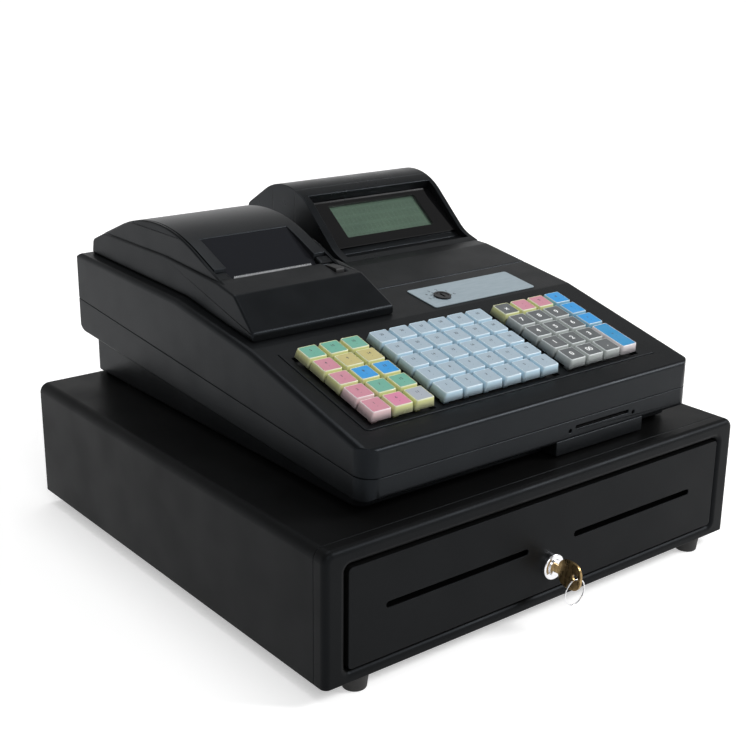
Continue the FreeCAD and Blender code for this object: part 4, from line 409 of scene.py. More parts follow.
crystal = Finish("crystal", roughness=0.25, Coat_Weight=0.3, Coat_Roughness=0.1)
CELL_WIDTH = 5.2 * MM
CELL_HEIGHT = 9.5 * MM
CELL_GAP = 0.16
CELL_DEPTH = 0.14
GLASS_TILT = -37.49
on_glass = crystal.node("ShaderNodeMapping", Vector=crystal.place,
                        Rotation=(math.radians(GLASS_TILT), 0, 0))
glass_axes = crystal.node("ShaderNodeSeparateXYZ", Vector=on_glass.outputs["Vector"]).outputs
inside = CELL_DEPTH
for letter, step in (("X", CELL_WIDTH), ("Y", CELL_HEIGHT)):
    part = crystal.math("FRACT", crystal.math("DIVIDE", glass_axes[letter], step))
    for test, limit in (("GREATER_THAN", CELL_GAP), ("LESS_THAN", 1 - CELL_GAP)):
        inside = crystal.math("MULTIPLY", inside, crystal.math(test, part, limit))
shade = crystal.clouds(srgb(84, 108, 90), srgb(72, 94, 80), 60 * MM)
crystal.feed("Base Color", crystal.blend(inside, shade, srgb(20, 28, 24)))

# %% [markdown]
# ## Key caps
# A key on such a register is a coloured base under a clear, slightly tapered cap; the legend lies
# between the two. One finish serves all the keys. It reads its colours from attributes that every
# key carries: `side` for the base, `legend` for the slip under the cap, `ink` for what is printed
# on it. The attribute `rim` is a painted glint: where it is 1, the base is paled towards a light
# grey, as where the clear cap's edge catches the light.

# %% Key finishes
def attribute(finish, name, part="Color"):
    return finish.node("ShaderNodeAttribute", {"attribute_name": name}).outputs[part]


def faded(finish, share, name, towards):
    """The colour of an attribute, faded towards another colour by a share."""
    finish.feed("Base Color", finish.blend(share, attribute(finish, name), towards))


key_cap = Finish("key_cap", roughness=0.22, Specular_IOR_Level=0.4)
# Painted glint: where `rim` is high, the base colour is paled towards a light grey.
painted_glint_share = key_cap.math("MULTIPLY", attribute(key_cap, "rim", "Fac"), 0.7)
faded(key_cap, painted_glint_share, "side", (0.72, 0.76, 0.78, 1))
key_cap.wander(0.18, 0.28, 6 * MM)

key_legend = Finish("key_legend", roughness=0.35, Specular_IOR_Level=0.3)
paled = key_legend.spread(key_legend.noise(9 * MM), 0.0, 0.06)
faded(key_legend, paled, "legend", (0.6, 0.6, 0.6, 1))
key_legend.grain(2.5 * MM, 0.006 * MM)

key_ink = Finish("key_ink", roughness=0.3)
worn = key_ink.spread(key_ink.noise(0.5 * MM), 0.0, 0.12)
faded(key_ink, worn, "ink", (0.4, 0.4, 0.4, 1))

# %% [markdown]
# ## Seams of the hood
# The display hood is closed by a cover whose joints are hair lines across its top. A joint that
# fine needs no edge in the mesh: the finish darkens and sinks a line where the object's Y has
# the joint's value.

# %% Hood finish with its joint lines
HOOD_SEAMS = (152.8 * MM, 187.5 * MM)
SEAM_WIDTH = 0.35 * MM
SEAM_DEPTH = 0.3 * MM
SEAM_COLOUR = (0.002, 0.002, 0.002, 1)

hood = Finish("hood_plastic", roughness=0.3, Specular_IOR_Level=0.2, Specular_Tint=SHEEN)
beside = 1.0
for seam in HOOD_SEAMS:
    behind = hood.math("SUBTRACT", hood.axis("Y"), seam)
    away = hood.math("ABSOLUTE", behind)
    beside = hood.math("MULTIPLY", beside, hood.spread(away, 0, 1, 0, SEAM_WIDTH))
skin = hood.clouds(CASE_DARK, CASE_LIGHT, 30 * MM)
hood.feed("Base Color", hood.blend(beside, SEAM_COLOUR, skin))
hood.wander(0.26, 0.34, 25 * MM)
hood.bump(beside, SEAM_DEPTH)
hood.grain(GRAIN_SIZE, GRAIN_DEPTH)

# %% [markdown]
# ## The lid's sunk field
# Where the paper comes out, the lid has a sunk, flat field that was left matt and darker than the
# grained skin round it. It lies between two X values, in front of one Y, below the arch's line.

# %% Lid finish with its dark field
FIELD_X = (-126.2 * MM, -43.8 * MM)
FIELD_REAR_Y = 70.6 * MM
FIELD_COLOUR = srgb(32, 33, 36)
ARCH_FRONT = (0.43, 221.2 * MM)
SUNK = 0.9 * MM

lid = Finish("lid_plastic", roughness=0.34, Specular_IOR_Level=0.2, Specular_Tint=SHEEN)
across, along, up = (lid.axis(letter) for letter in "XYZ")
under = lid.math("SUBTRACT", lid.math("MULTIPLY_ADD", along, *ARCH_FRONT), up)
field = lid.math("GREATER_THAN", under, SUNK)
for test, place, limit in (("LESS_THAN", along, FIELD_REAR_Y), ("GREATER_THAN", across, FIELD_X[0]),
                           ("LESS_THAN", across, FIELD_X[1])):
    field = lid.math("MULTIPLY", field, lid.math(test, place, limit))
skin = lid.clouds(CASE_DARK, CASE_LIGHT, 30 * MM)
lid.feed("Base Color", lid.blend(field, skin, FIELD_COLOUR))
lid.feed("Roughness", lid.spread(field, 0.34, 0.75, 0, 1))
lid.feed("Specular IOR Level", lid.spread(field, 0.2, 0, 0, 1))
lid.grain(GRAIN_SIZE, GRAIN_DEPTH)
print("finishes", len(bpy.data.materials))

# %% [markdown]
# ## Soft edges for the solids
# No moulded or bent edge is sharp. Each solid of the frame gets the same chain of modifiers, which
# leaves its own vertices alone. It welds the triangles, joins the flat ones, marks the edges that
# point outwards and rounds those by the width that suits the material. Inner corners stay as they
# are. It then shades smoothly across shallow angles only, so that a thin bright line runs along
# every rounded edge under the studio light.

# %% The shading tree and the chain
SMOOTH_LIMIT = math.radians(50)
EDGE_LIMIT = math.radians(32)
FLAT_LIMIT = math.radians(0.2)
WELD_REACH = 0.002 * MM
EDGE_SEGMENTS = 2


class Tree(Wiring):
    """A geometry node tree, built from named inputs."""

    def __init__(self, name, **inputs):
        self.group = bpy.data.node_groups.new(name, "GeometryNodeTree")
        super().__init__(self.group)
        face = self.group.interface
        face.new_socket("Geometry", in_out="OUTPUT", socket_type="NodeSocketGeometry")
        face.new_socket("Geometry", in_out="INPUT", socket_type="NodeSocketGeometry")
        for title, kind in inputs.items():
            face.new_socket(title.replace("_", " "), in_out="INPUT",
                            socket_type="NodeSocket" + kind)
        self.start = self.node("NodeGroupInput")
        self.stop = self.node("NodeGroupOutput")

    def given(self, title):
        return self.start.outputs[title]

    def first(self, kind, settings=None, **inputs):
        """Add a node and take its first output."""
        return self.node(kind, settings, **inputs).outputs[0]

    def stamp(self, points, title, **inputs):
        """Set one of the tree's objects on every point."""
        source = self.node("GeometryNodeObjectInfo", Object=self.given(title))
        return self.first("GeometryNodeInstanceOnPoints", Points=points,
                          Instance=source.outputs["Geometry"], **inputs)

    def real(self, geometry):
        return self.first("GeometryNodeRealizeInstances", Geometry=geometry)

    def painted(self, geometry, title="Finish"):
        return self.first("GeometryNodeSetMaterial", Geometry=geometry, Material=self.given(title))

    def join(self, *parts):
        together = self.node("GeometryNodeJoinGeometry")
        for part in parts:
            self.links.new(part, together.inputs[0])
        return together.outputs[0]

    def compare(self, test, angle):
        """Is an edge's angle above or below the tree's limit?"""
        found = self.node("GeometryNodeInputMeshEdgeAngle").outputs[angle]
        return self.first("FunctionNodeCompare", {"operation": test}, A=found,
                          B=self.given("Limit"))

    def close(self, geometry):
        self.links.new(geometry, self.stop.inputs["Geometry"])

    def on(self, thing, **values):
        """Put the tree on an object and set its inputs by their identifiers."""
        modifier = thing.modifiers.new(self.group.name, "NODES")
        modifier.node_group = self.group
        for item in self.group.interface.items_tree:
            title = item.name.replace(" ", "_")
            if item.in_out == "INPUT" and title in values:
                modifier[item.identifier] = values[title]


outward = Tree("mark_outward_edges", Limit="Float")
outward.close(outward.first(
    "GeometryNodeStoreNamedAttribute", {"data_type": "FLOAT", "domain": "EDGE"},
    Geometry=outward.given("Geometry"), Name="bevel_weight_edge",
    Value=outward.compare("GREATER_THAN", "Signed Angle")))

soft = Tree("soft_shading", Limit="Float")
edges = soft.first("GeometryNodeSetShadeSmooth", {"domain": "EDGE"},
                   Geometry=soft.given("Geometry"),
                   Shade_Smooth=soft.compare("LESS_THAN", "Unsigned Angle"))
soft.close(soft.first("GeometryNodeSetShadeSmooth", {"domain": "FACE"}, Geometry=edges,
                      Shade_Smooth=True))


def soften(thing, width):
    """Round the edges of a piece by so much and shade it."""
    thing.modifiers.new("weld", "WELD").merge_threshold = WELD_REACH
    flat = thing.modifiers.new("flat", "DECIMATE")
    flat.decimate_type = "DISSOLVE"
    flat.angle_limit = FLAT_LIMIT
    outward.on(thing, Limit=EDGE_LIMIT)
    round_off = thing.modifiers.new("round", "BEVEL")
    round_off.width = width
    round_off.segments = EDGE_SEGMENTS
    round_off.limit_method = "WEIGHT"
    round_off.use_clamp_overlap = False
    soft.on(thing, Limit=SMOOTH_LIMIT)
    thing.modifiers.new("weigh", "WEIGHTED_NORMAL").keep_sharp = True

# %% [markdown]
# ## A finish and an edge for every solid
# Sheet steel is folded, with an outer radius of little more than its own thickness, and cut with
# almost none. Mouldings are rounder. Turned and stamped metal parts are only deburred.

# %% Dressing the solids of the frame
DRESS = (
    # finish, edge width in mm, nodes
    (powder_coat, 0.5, ("cabinet_cover", "cabinet_base", "cabinet_front_frame", "drawer_front")),
    (powder_coat, 0.3, ("drawer_pan",)),
    (case_plastic, 0.8, ("upper_case", "lower_case")),
    (case_plastic, 1.8, ("printer_housing",)),
    (lid, 0.5, ("printer_cover",)),
    (hood, 0.6, ("display_hood",)),
    (dull_plastic, 0.4, ("cover_latch", "key_frame", "base_plate", "rear_sockets", "card_reader")),
    (tray_plastic, 0.4, ("cash_tray",)),
    (zinc, 0.2, ("cabinet_rails", "drawer_rails", "release_solenoid", "drawer_latch", "clip_rod")),
    (zinc, 0.15, ("lock_cam",)),
    (dull_plastic, 0.5, ("bill_clip_1", "bill_clip_2", "bill_clip_3", "bill_clip_4")),
    (chrome, 0.15, ("drawer_lock", "lock_plug")),
    (black_metal, 0.15, ("mode_lock", "mode_lock_plug")),
    (foil, 0.15, ("mode_plate",)),
    (rubber, 0.8, ("cabinet_feet", "register_feet")),
    (rubber, 0.3, ("platen_roller",)),
    (silicone, 0.3, ("key_mat",)),
    (board_green, 0.1, ("keyboard_board", "main_board")),
    (paper, 0.1, ("paper_roll",)),
    (grey_metal, 0.2, ("power_supply", "printer_mechanism")),
    (crystal, 0.1, ("lcd_module",)),
    (lens_black, 0.3, ("rear_display_lens",)),
)
for finish, width, names in DRESS:
    for name in names:
        NODES[name].data.materials.clear()
        NODES[name].data.materials.append(finish.material)
        soften(NODES[name], width * MM)
print("dressed", sum(len(names) for _, _, names in DRESS))

# %% [markdown]
# ## Making meshes
# Small parts are lofted: a stack of rounded rectangles, each at its own height, is skinned. A
# helper turns the result into an object whose place is in its vertices.

# %% Mesh helpers
def rounded(half_x, half_y, radius, height, steps=4, middle=(0, 0)):
    """A ring of points round a rounded rectangle."""
    ring = []
    for quarter in range(4):
        sign_x, sign_y = ((1, 1), (-1, 1), (-1, -1), (1, -1))[quarter]
        for step in range(steps + 1):
            angle = math.pi / 2 * (quarter + step / steps)
            ring.append((middle[0] + sign_x * (half_x - radius) + radius * math.cos(angle),
                         middle[1] + sign_y * (half_y - radius) + radius * math.sin(angle), height))
    return ring


def loft(rings, bottom=True, top=True, ring_loop=False):
    """Vertices and faces of a skin over rings of equal count."""
    count = len(rings[0])
    points = [point for ring in rings for point in ring]
    faces = []
    pairs = list(zip(range(len(rings) - 1), range(1, len(rings))))
    if ring_loop:
        pairs.append((len(rings) - 1, 0))
    for low, high in pairs:
        for step in range(count):
            after = (step + 1) % count
            faces.append((low * count + step, low * count + after, high * count + after,
                          high * count + step))
    if bottom:
        faces.append(tuple(reversed(range(count))))
    if top:
        faces.append(tuple(range((len(rings) - 1) * count, len(rings) * count)))
    return points, faces


def both(first, second):
    """The points and faces of two skins, as one."""
    start = len(first[0])
    moved = [tuple(index + start for index in face) for face in second[1]]
    return first[0] + second[0], first[1] + moved


def mesh_of(name, points, faces):
    mesh = bpy.data.meshes.new(name)
    mesh.from_pydata([Vector(point) * MM for point in points], [], faces)
    mesh.update()
    return mesh


def thing_of(name, mesh, *finishes):
    thing = bpy.data.objects.new(name, mesh)
    show(thing)
    for finish in finishes:
        mesh.materials.append(finish.material)
    return thing


def drawn_mesh(thing):
    """What an object looks like with its modifiers, as a mesh."""
    graph = bpy.context.evaluated_depsgraph_get()
    return bpy.data.meshes.new_from_object(thing.evaluated_get(graph), depsgraph=graph)


def settle(thing):
    """Turn what the modifiers give into the object's own mesh, and drop them."""
    bpy.context.view_layer.update()
    mesh = drawn_mesh(thing)
    thing.modifiers.clear()
    thing.data = mesh


def shift(x, y, z):
    """A move, in millimetres."""
    return Matrix.Translation(Vector((x, y, z)) * MM)

# %% [markdown]
# ## The planes of the deck
# The keys stand on a sloping deck, the mode lock on a flatter one behind it, the lens on a steep
# one. Each plane is a matrix that takes a place across, up the slope and out of it, in millimetres
# of the part, to the frame.

# %% Planes
DECK_TILT = 14.467


def plane(y, z, tilt):
    return shift(0, y, z) @ Matrix.Rotation(math.radians(tilt), 4, "X")


DECK = plane(-95.25, 179.5, DECK_TILT)
MIDDLE = plane(-40.25, 193.69, 8.531)
LENS_PLANE = plane(99.75, 215, 37.487)

# %% [markdown]
# ## One key cap
# The cap is lofted from the skirt, which hangs a little above the deck, up to a narrow lip. Inside
# the lip a groove runs round the legend, which lies level with the lip. A painted glint, kept in
# the attribute `rim`, pales the foot of the sides, the lip and the upright corners of the clear
# plastic, where light gathers in it. The stem goes down through the key frame to the mat. The tall
# key is the same cap with its straight sides drawn out, so that its corners keep their radius.

# %% Cap and legend meshes
PITCH_X = 19.25
PITCH_V = 18.85
CAP = (
    # half width, corner radius, height above the deck, share of painted glint on this ring, highest
    # in the lip
    (8.95, 1.4, 1.6, 0.45),
    (8.05, 1.3, 7.6, 0.0),
    (7.95, 1.2, 8.25, 0.25),
    (7.8, 1.1, 8.68, 0.7),
    (7.6, 1.0, 8.84, 0.8),
    (7.42, 0.9, 8.86, 0.5),
    (7.36, 0.9, 8.72, 0.0),
    (7.34, 0.9, 8.3, 0.0),
)
CORNER_PAINTED_GLINT = (0.35, 1.0, 0.35, 0.5)
LEGEND_HALF = 7.16
LEGEND_TAPER = 0.03
LEGEND_HEIGHT = 8.8
STEM_SIDE = 5.0
STEM_HEIGHTS = (-7.0, 1.8)
STEPS = 4


def make_cap(name, longer):
    skin = loft([rounded(half, half + longer, radius, height, STEPS)
                 for half, radius, height, _ in CAP])
    stem = loft([rounded(STEM_SIDE / 2, STEM_SIDE / 2, 0.4, height, 1) for height in STEM_HEIGHTS])
    mesh = mesh_of(name, *both(skin, stem))
    # Painted glint: per-point shares of `rim`, lighter at the cap's foot, along the lip and down
    # the upright corners.
    shares = []
    for _, _, height, share in CAP:
        for corner in range(4):
            upright = CORNER_PAINTED_GLINT[corner] if height < LEGEND_HEIGHT - 0.5 else share
            shares += [max(share, upright if step == STEPS // 2 else 0)
                       for step in range(STEPS + 1)]
    rim = mesh.attributes.new("rim", "FLOAT", "POINT")
    rim.data.foreach_set("value", shares + [0.0] * len(stem[0]))
    for face in mesh.polygons:
        face.use_smooth = True
    return bpy.data.objects.new(name, mesh)


def make_legend(name, longer):
    heights = (CAP[-1][2], LEGEND_HEIGHT - 0.05, LEGEND_HEIGHT)
    rings = [rounded(LEGEND_HALF - LEGEND_TAPER * step, LEGEND_HALF + longer - LEGEND_TAPER * step,
                     0.9, height) for step, height in enumerate(heights)]
    return bpy.data.objects.new(name, mesh_of(name, *loft(rings)))


caps = {longer: make_cap("cap_%d" % longer, longer) for longer in (0, PITCH_V / 2)}
legends = {longer: make_legend("legend_%d" % longer, longer) for longer in (0, PITCH_V / 2)}

# %% [markdown]
# ## The keyboard's plan
# Three blocks stand side by side, five rows deep: three columns of department keys in mixed
# colours, six columns of pale item keys, and the number block with its function keys. One letter
# per key names the colour of its legend; a second table names the colour of its base.

# %% Colours and plan of the keys
LEGEND = {
    "g": srgb(98, 160, 141), "y": srgb(180, 170, 114), "p": srgb(188, 126, 142),
    "b": srgb(40, 140, 204), "m": srgb(198, 124, 152), "l": srgb(154, 161, 170),
    "w": srgb(151, 168, 180), "d": srgb(82, 86, 88), "t": srgb(36, 133, 184),
}
SIDE = {
    "lime": srgb(214, 216, 150), "rose": srgb(230, 198, 200), "sky": srgb(186, 214, 230),
    "grey": srgb(176, 182, 180), "navy": srgb(130, 180, 205), "white": srgb(222, 214, 216),
}
WHITE_INK = srgb(238, 240, 240)
DARK_INK = srgb(40, 44, 56)
BACK_ROW_V = 27.0
NUMBERS_X = 70.2
BLOCKS = (
    # body, x of the first column, legends from the back row to the front, bases, marks
    ("department_keys", -120.8, ("ggg", "pyy", "pbb", "pgg", "pml"),
     ("lime lime lime", "lime lime lime", "lime lime lime", "rose lime lime", "rose lime lime"),
     ("5 10 15", "4 9 14", "3 8 13", "2 7 12", "1 6 11")),
    ("item_keys", -55.7, ("wwwwww",) * 5, ("sky sky sky sky sky sky",) * 5,
     ("25 26 27 28 29 30", "19 20 21 22 23 24", "13 14 15 16 17 18", "7 8 9 10 11 12",
      "1 2 3 4 5 6")),
    ("function_keys", NUMBERS_X, ("dppb", "   b", "   b", "    ", " dd "),
     ("lime lime lime navy", ". . . navy", ". . . navy", ". . . .", ". grey grey ."),
     ("x - % #", ". . . /", ". . . +", ". . . .", ". 00 * .")),
    ("digits", NUMBERS_X, ("    ", "ddd ", "ddd ", "ddd ", "d   "),
     (". . . .", "grey grey grey .", "grey grey grey .", "grey grey grey .", "grey . . ."),
     (". . . .", "7 8 9 .", "4 5 6 .", "1 2 3 .", "0 . . .")),
)
POINT_MARK = "*"


plan = {}


def add_key(body, x, v, side, legend, ink, mark):
    """Note a key's place, its three colours and its mark, under the body that it moves with."""
    plan.setdefault(body, []).append((DECK @ (Vector((x, v, 0)) * MM), side, legend, ink, mark))


for name, first_x, rows, side_rows, mark_rows in BLOCKS:
    for row, (letters, sides, marks) in enumerate(zip(rows, side_rows, mark_rows)):
        for column, (letter, side, mark) in enumerate(zip(letters, sides.split(), marks.split())):
            if letter == " ":
                continue
            body = "digit_key_" + mark if name == "digits" else name
            ink, size = (WHITE_INK, "big ") if letter == "d" else (DARK_INK, "small ")
            add_key(body, first_x + PITCH_X * column, BACK_ROW_V - PITCH_V * row, SIDE[side],
                    LEGEND[letter], ink, size + mark)
add_key("total_key", NUMBERS_X + 3 * PITCH_X, BACK_ROW_V - 3.5 * PITCH_V, SIDE["white"],
        LEGEND["t"], DARK_INK, "small =")

# %% [markdown]
# ## What is printed on the legends
# The figures are real outlines, cut from the built-in typeface and laid flat on the legend: large
# ones in the middle of the number keys, small ones with a dot below on the others. They are plain
# figures and signs only.

# %% Marks as meshes
BIG_MARK = 6.6
SMALL_MARK = 3.4
MARK_HEIGHT = LEGEND_HEIGHT + 0.02
MARK_WEIGHT = 0.022


def flat_text(text, size):
    """Plain figures and signs, centred, as a flat mesh."""
    curve = bpy.data.curves.new("mark", "FONT")
    curve.body = text
    curve.resolution_u = 3
    curve.size = size * MM
    curve.offset = MARK_WEIGHT * curve.size
    curve.align_x = curve.align_y = "CENTER"
    drawn = bpy.data.objects.new("mark", curve)
    show(drawn)
    mesh = drawn_mesh(drawn)
    bpy.data.objects.remove(drawn)
    return mesh


def make_mark(label, index):
    size, text = label.split(" ")
    if size == "big":
        mesh = flat_text("." if text == POINT_MARK else text, BIG_MARK)
    else:
        mesh = flat_text(text + "\n.", SMALL_MARK)
    mesh.transform(shift(0, 0, MARK_HEIGHT))
    return bpy.data.objects.new("mark_%02d" % index, mesh)


labels = sorted({key[-1] for keys in plan.values() for key in keys})
marks = bpy.data.collections.new("marks")
for index, label in enumerate(labels):
    marks.objects.link(make_mark(label, index))
print("marks", len(labels))

# %% [markdown]
# ## Keys on points
# The repeat is done by one geometry node tree. Each body's keys are points on the deck, and every
# point carries its colours and the number of its mark. The tree sets a cap, a legend and a mark on
# each point, gives each cap a hair of play about its stem, as clipped caps have, and ends with real
# geometry that carries its finish. One tree serves every body; only its inputs differ.

# %% The key tree
key_tree = Tree("keys_on_points", Cap="Object", Legend="Object", Marks="Collection", Tilt="Vector",
                Play="Float", Seed="Int", Cap_Finish="Material", Legend_Finish="Material",
                Ink_Finish="Material")
# The random value node's second output is its number.
play = key_tree.node("FunctionNodeRandomValue", {"data_type": "FLOAT"}, Seed=key_tree.given("Seed"))
either_way = key_tree.math("MULTIPLY_ADD", play.outputs[1], 2.0, -1.0)
swing = key_tree.math("MULTIPLY", either_way, key_tree.given("Play"))
spun = key_tree.first("FunctionNodeEulerToRotation",
                      Euler=key_tree.first("ShaderNodeCombineXYZ", Z=swing))
tilted = key_tree.first("FunctionNodeEulerToRotation", Euler=key_tree.given("Tilt"))
turned = key_tree.first("FunctionNodeRotateRotation", {"rotation_space": "LOCAL"}, Rotation=tilted,
                        Rotate_By=spun)
spots = key_tree.given("Geometry")
layers = {title + " Finish": key_tree.stamp(spots, title, Rotation=turned)
          for title in ("Cap", "Legend")}
chosen = key_tree.node("GeometryNodeInputNamedAttribute", {"data_type": "INT"}, Name="mark")
source = key_tree.first("GeometryNodeCollectionInfo", Collection=key_tree.given("Marks"),
                        Separate_Children=True, Reset_Children=True)
layers["Ink Finish"] = key_tree.first(
    "GeometryNodeInstanceOnPoints", Points=spots, Instance=source, Pick_Instance=True,
    Instance_Index=chosen.outputs["Attribute"], Rotation=turned)
key_tree.close(key_tree.join(*(key_tree.painted(key_tree.real(placed), title)
                               for title, placed in layers.items())))
print("nodes in the key tree", len(key_tree.group.nodes))

# %% Keys for every body
KEY_SEED = 7
KEY_PLAY = math.radians(0.5)
for name, keys in plan.items():
    longer = PITCH_V / 2 if name == "total_key" else 0
    places, sides, slips, inks, key_marks = zip(*keys)
    mesh = bpy.data.meshes.new(name + "_points")
    mesh.from_pydata(places, [], [])
    for title, colours in (("side", sides), ("legend", slips), ("ink", inks)):
        layer = mesh.attributes.new(title, "FLOAT_COLOR", "POINT")
        layer.data.foreach_set("color", [channel for colour in colours for channel in colour])
    mesh.attributes.new("mark", "INT", "POINT").data.foreach_set(
        "value", [labels.index(mark) for mark in key_marks])
    shown = thing_of(name + "_shown", mesh)
    key_tree.on(shown, Cap=caps[longer], Legend=legends[longer], Marks=marks,
                Tilt=(math.radians(DECK_TILT), 0, 0), Play=KEY_PLAY, Seed=KEY_SEED,
                Cap_Finish=key_cap.material, Legend_Finish=key_legend.material,
                Ink_Finish=key_ink.material)
    settle(shown)
    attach(shown, body_of[name])
    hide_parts(name)
    print(name, len(shown.data.vertices), "points", len(shown.data.materials), "finishes")

# %% [markdown]
# ## The smoked lens
# The solid of the lens is one plate. The real one is a printed frame: gloss black round a clear
# window. The frame is lofted as a closed ring whose inner edge is the window's, and a thinner clear
# pane fills it, so that the display shows through.

# %% Lens with its window
LENS_X = (30.2, 169.8)
LENS_V = (1.4, 55.8)
LENS_THICK = 2.5
WINDOW_X = (49.3, 148.5)
WINDOW_V = (12, 49.8)


PANE = (-1.2, -0.5)
LENS_CORNER = 0.6
WINDOW_CORNER = 1.2
LENS_SMOOTH = math.radians(30)


def frame_ring(grow, height, radius, sides=(LENS_X, LENS_V)):
    (left, right), (low, high) = sides
    return rounded((right - left) / 2 + grow, (high - low) / 2 + grow, radius, height, 4,
                   ((left + right) / 2, (low + high) / 2))


window = (WINDOW_X, WINDOW_V)
rim = loft([
    frame_ring(0, -LENS_THICK, LENS_CORNER), frame_ring(0, -0.3, LENS_CORNER),
    frame_ring(-0.3, 0, LENS_CORNER), frame_ring(0.25, 0, WINDOW_CORNER, window),
    frame_ring(0, -0.25, WINDOW_CORNER, window),
    frame_ring(0, -LENS_THICK, WINDOW_CORNER, window),
], bottom=False, top=False, ring_loop=True)
pane = loft([frame_ring(0.05, height, WINDOW_CORNER, window) for height in PANE])
mesh = mesh_of("lens_shown", *both(rim, pane))
lens = thing_of("display_lens_shown", mesh, lens_black, window_clear)
for face in mesh.polygons[len(rim[1]):]:
    face.material_index = 1
mesh.transform(LENS_PLANE)
soft.on(lens, Limit=LENS_SMOOTH)
settle(lens)
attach(lens, body_of["display_lens"])
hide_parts("display_lens")
print("lens", [round(value / MM, 1) for value in (LENS_PLANE @ Vector((0, 0, 0)))])

# %% [markdown]
# ## The tear bar
# A paper strip is torn against a saw-toothed steel edge. The teeth are one small pyramid, repeated
# along the bar by a tree of its own that makes its points on a line.

# %% Tear bar with teeth
TEAR_X = (-124.0, -52.0)
TEAR_Y = (24.75, 25.55)
TEAR_Z = (224.0, 229.2)
TOOTH_TOP = 230.4
TOOTH_LEAN = 0.1
TOOTH_COUNT = 48

tooth_step = (TEAR_X[1] - TEAR_X[0]) / TOOTH_COUNT
half_tooth = tooth_step / 2
tooth = bpy.data.objects.new("tooth", mesh_of("tooth", [
    (-half_tooth, TEAR_Y[0], TEAR_Z[1]), (half_tooth, TEAR_Y[0], TEAR_Z[1]),
    (half_tooth, TEAR_Y[1], TEAR_Z[1]), (-half_tooth, TEAR_Y[1], TEAR_Z[1]),
    (0, TEAR_Y[0] + TOOTH_LEAN, TOOTH_TOP), (0, TEAR_Y[1], TOOTH_TOP)],
    [(0, 1, 4), (2, 3, 5), (1, 2, 5, 4), (3, 0, 4, 5), (3, 2, 1, 0)]))
strip_plan = [(TEAR_X[0], TEAR_Y[0]), (TEAR_X[1], TEAR_Y[0]), (TEAR_X[1], TEAR_Y[1]),
              (TEAR_X[0], TEAR_Y[1])]
strip = loft([[(x, y, z) for x, y in strip_plan] for z in TEAR_Z])
tear_bar = thing_of("tear_bar_shown", mesh_of("strip", *strip))

row = Tree("row_of_teeth", Tooth="Object", Count="Int", Start="Vector", Step="Vector",
           Finish="Material")
line = row.first("GeometryNodeMeshLine", {"mode": "OFFSET"}, Count=row.given("Count"),
                 Start_Location=row.given("Start"), Offset=row.given("Step"))
teeth = row.real(row.stamp(line, "Tooth"))
row.close(row.painted(row.join(teeth, row.given("Geometry"))))
row.on(tear_bar, Tooth=tooth, Count=TOOTH_COUNT, Start=((TEAR_X[0] + half_tooth) * MM, 0, 0),
       Step=(tooth_step * MM, 0, 0), Finish=bare_steel.material)
settle(tear_bar)
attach(tear_bar, body_of["tear_bar"])
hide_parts("tear_bar")
print("teeth", TOOTH_COUNT, "at every", round(tooth_step, 2), "mm")

# %% [markdown]
# ## The key in the drawer lock
# A drawer key is stamped from thin sheet: a round-cornered bow with a hole for the ring, and a
# blade with cuts in its lower edge. The outline is drawn once, filled round the hole, given its
# thickness and its softened rims.

# %% The key
KEY_Y = (-230.75, -191.75)
KEY_Z = 41.0
BOW_DEPTH = 22.0
BOW_CORNER = 8.5
BLADE_HALF = 3.3
HOLE_Y = -225.25
HOLE_RADIUS = 2.4
KEY_HALF = 1.0
KEY_RIM = 0.28
BITTING = (1.1, 2.0, 0.7, 1.6, 2.3)

CUT_START = 5.5
CUT_SLOPE = 0.6
CUT_END = 1.5
CUT_PITCH = 2.1
HOLE_STEPS = 24

bow_end = KEY_Y[0] + BOW_DEPTH
outline = [(y, z) for y, z, _ in rounded(BOW_DEPTH / 2, BOW_DEPTH / 2, BOW_CORNER, 0, 6,
                                         (KEY_Y[0] + BOW_DEPTH / 2, KEY_Z))
           if y < bow_end - 1 or abs(z - KEY_Z) > BLADE_HALF]
edge_z = KEY_Z - BLADE_HALF
neck = bow_end - 0.05
outline.append((neck, edge_z))
cut_y = bow_end + CUT_START
for cut in BITTING:
    outline += [(cut_y, edge_z), (cut_y + CUT_SLOPE, edge_z + cut), (cut_y + CUT_END, edge_z + cut)]
    cut_y += CUT_PITCH
outline += [(cut_y, edge_z), (KEY_Y[1] - 0.8, edge_z + 1.6), (KEY_Y[1], KEY_Z - 0.6),
            (KEY_Y[1], KEY_Z + 0.6), (KEY_Y[1] - 2, KEY_Z + BLADE_HALF),
            (neck, KEY_Z + BLADE_HALF)]
hole = [(HOLE_Y + HOLE_RADIUS * math.cos(math.tau * step / HOLE_STEPS),
         KEY_Z + HOLE_RADIUS * math.sin(math.tau * step / HOLE_STEPS))
        for step in range(HOLE_STEPS)]

shape = bmesh.new()
for path in (outline, hole):
    corners = [shape.verts.new(Vector((-KEY_HALF, y, z)) * MM) for y, z in path]
    for index, corner in enumerate(corners):
        shape.edges.new((corner, corners[(index + 1) % len(corners)]))
bmesh.ops.triangle_fill(shape, edges=shape.edges[:], use_beauty=True, use_dissolve=False)
risen = bmesh.ops.extrude_face_region(shape, geom=shape.faces[:])["geom"]
bmesh.ops.translate(shape, vec=Vector((2 * KEY_HALF * MM, 0, 0)),
                    verts=[item for item in risen if isinstance(item, bmesh.types.BMVert)])
bmesh.ops.recalc_face_normals(shape, faces=shape.faces[:])
mesh = bpy.data.meshes.new("drawer_key_shown")
shape.to_mesh(mesh)
shape.free()
drawer_key = thing_of("drawer_key_shown", mesh, bronze)
soften(drawer_key, KEY_RIM * MM)
settle(drawer_key)
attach(drawer_key, body_of["drawer_key"])
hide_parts("drawer_key")
print("drawer key", len(drawer_key.data.polygons), "faces,", len(BITTING), "cuts")

# %% [markdown]
# ## The split ring
# A split ring is spring wire wound twice, each turn lying against the other. The tree winds a
# spiral with as good as no change of radius and runs a round profile along it, which gives the
# step where the turns end.

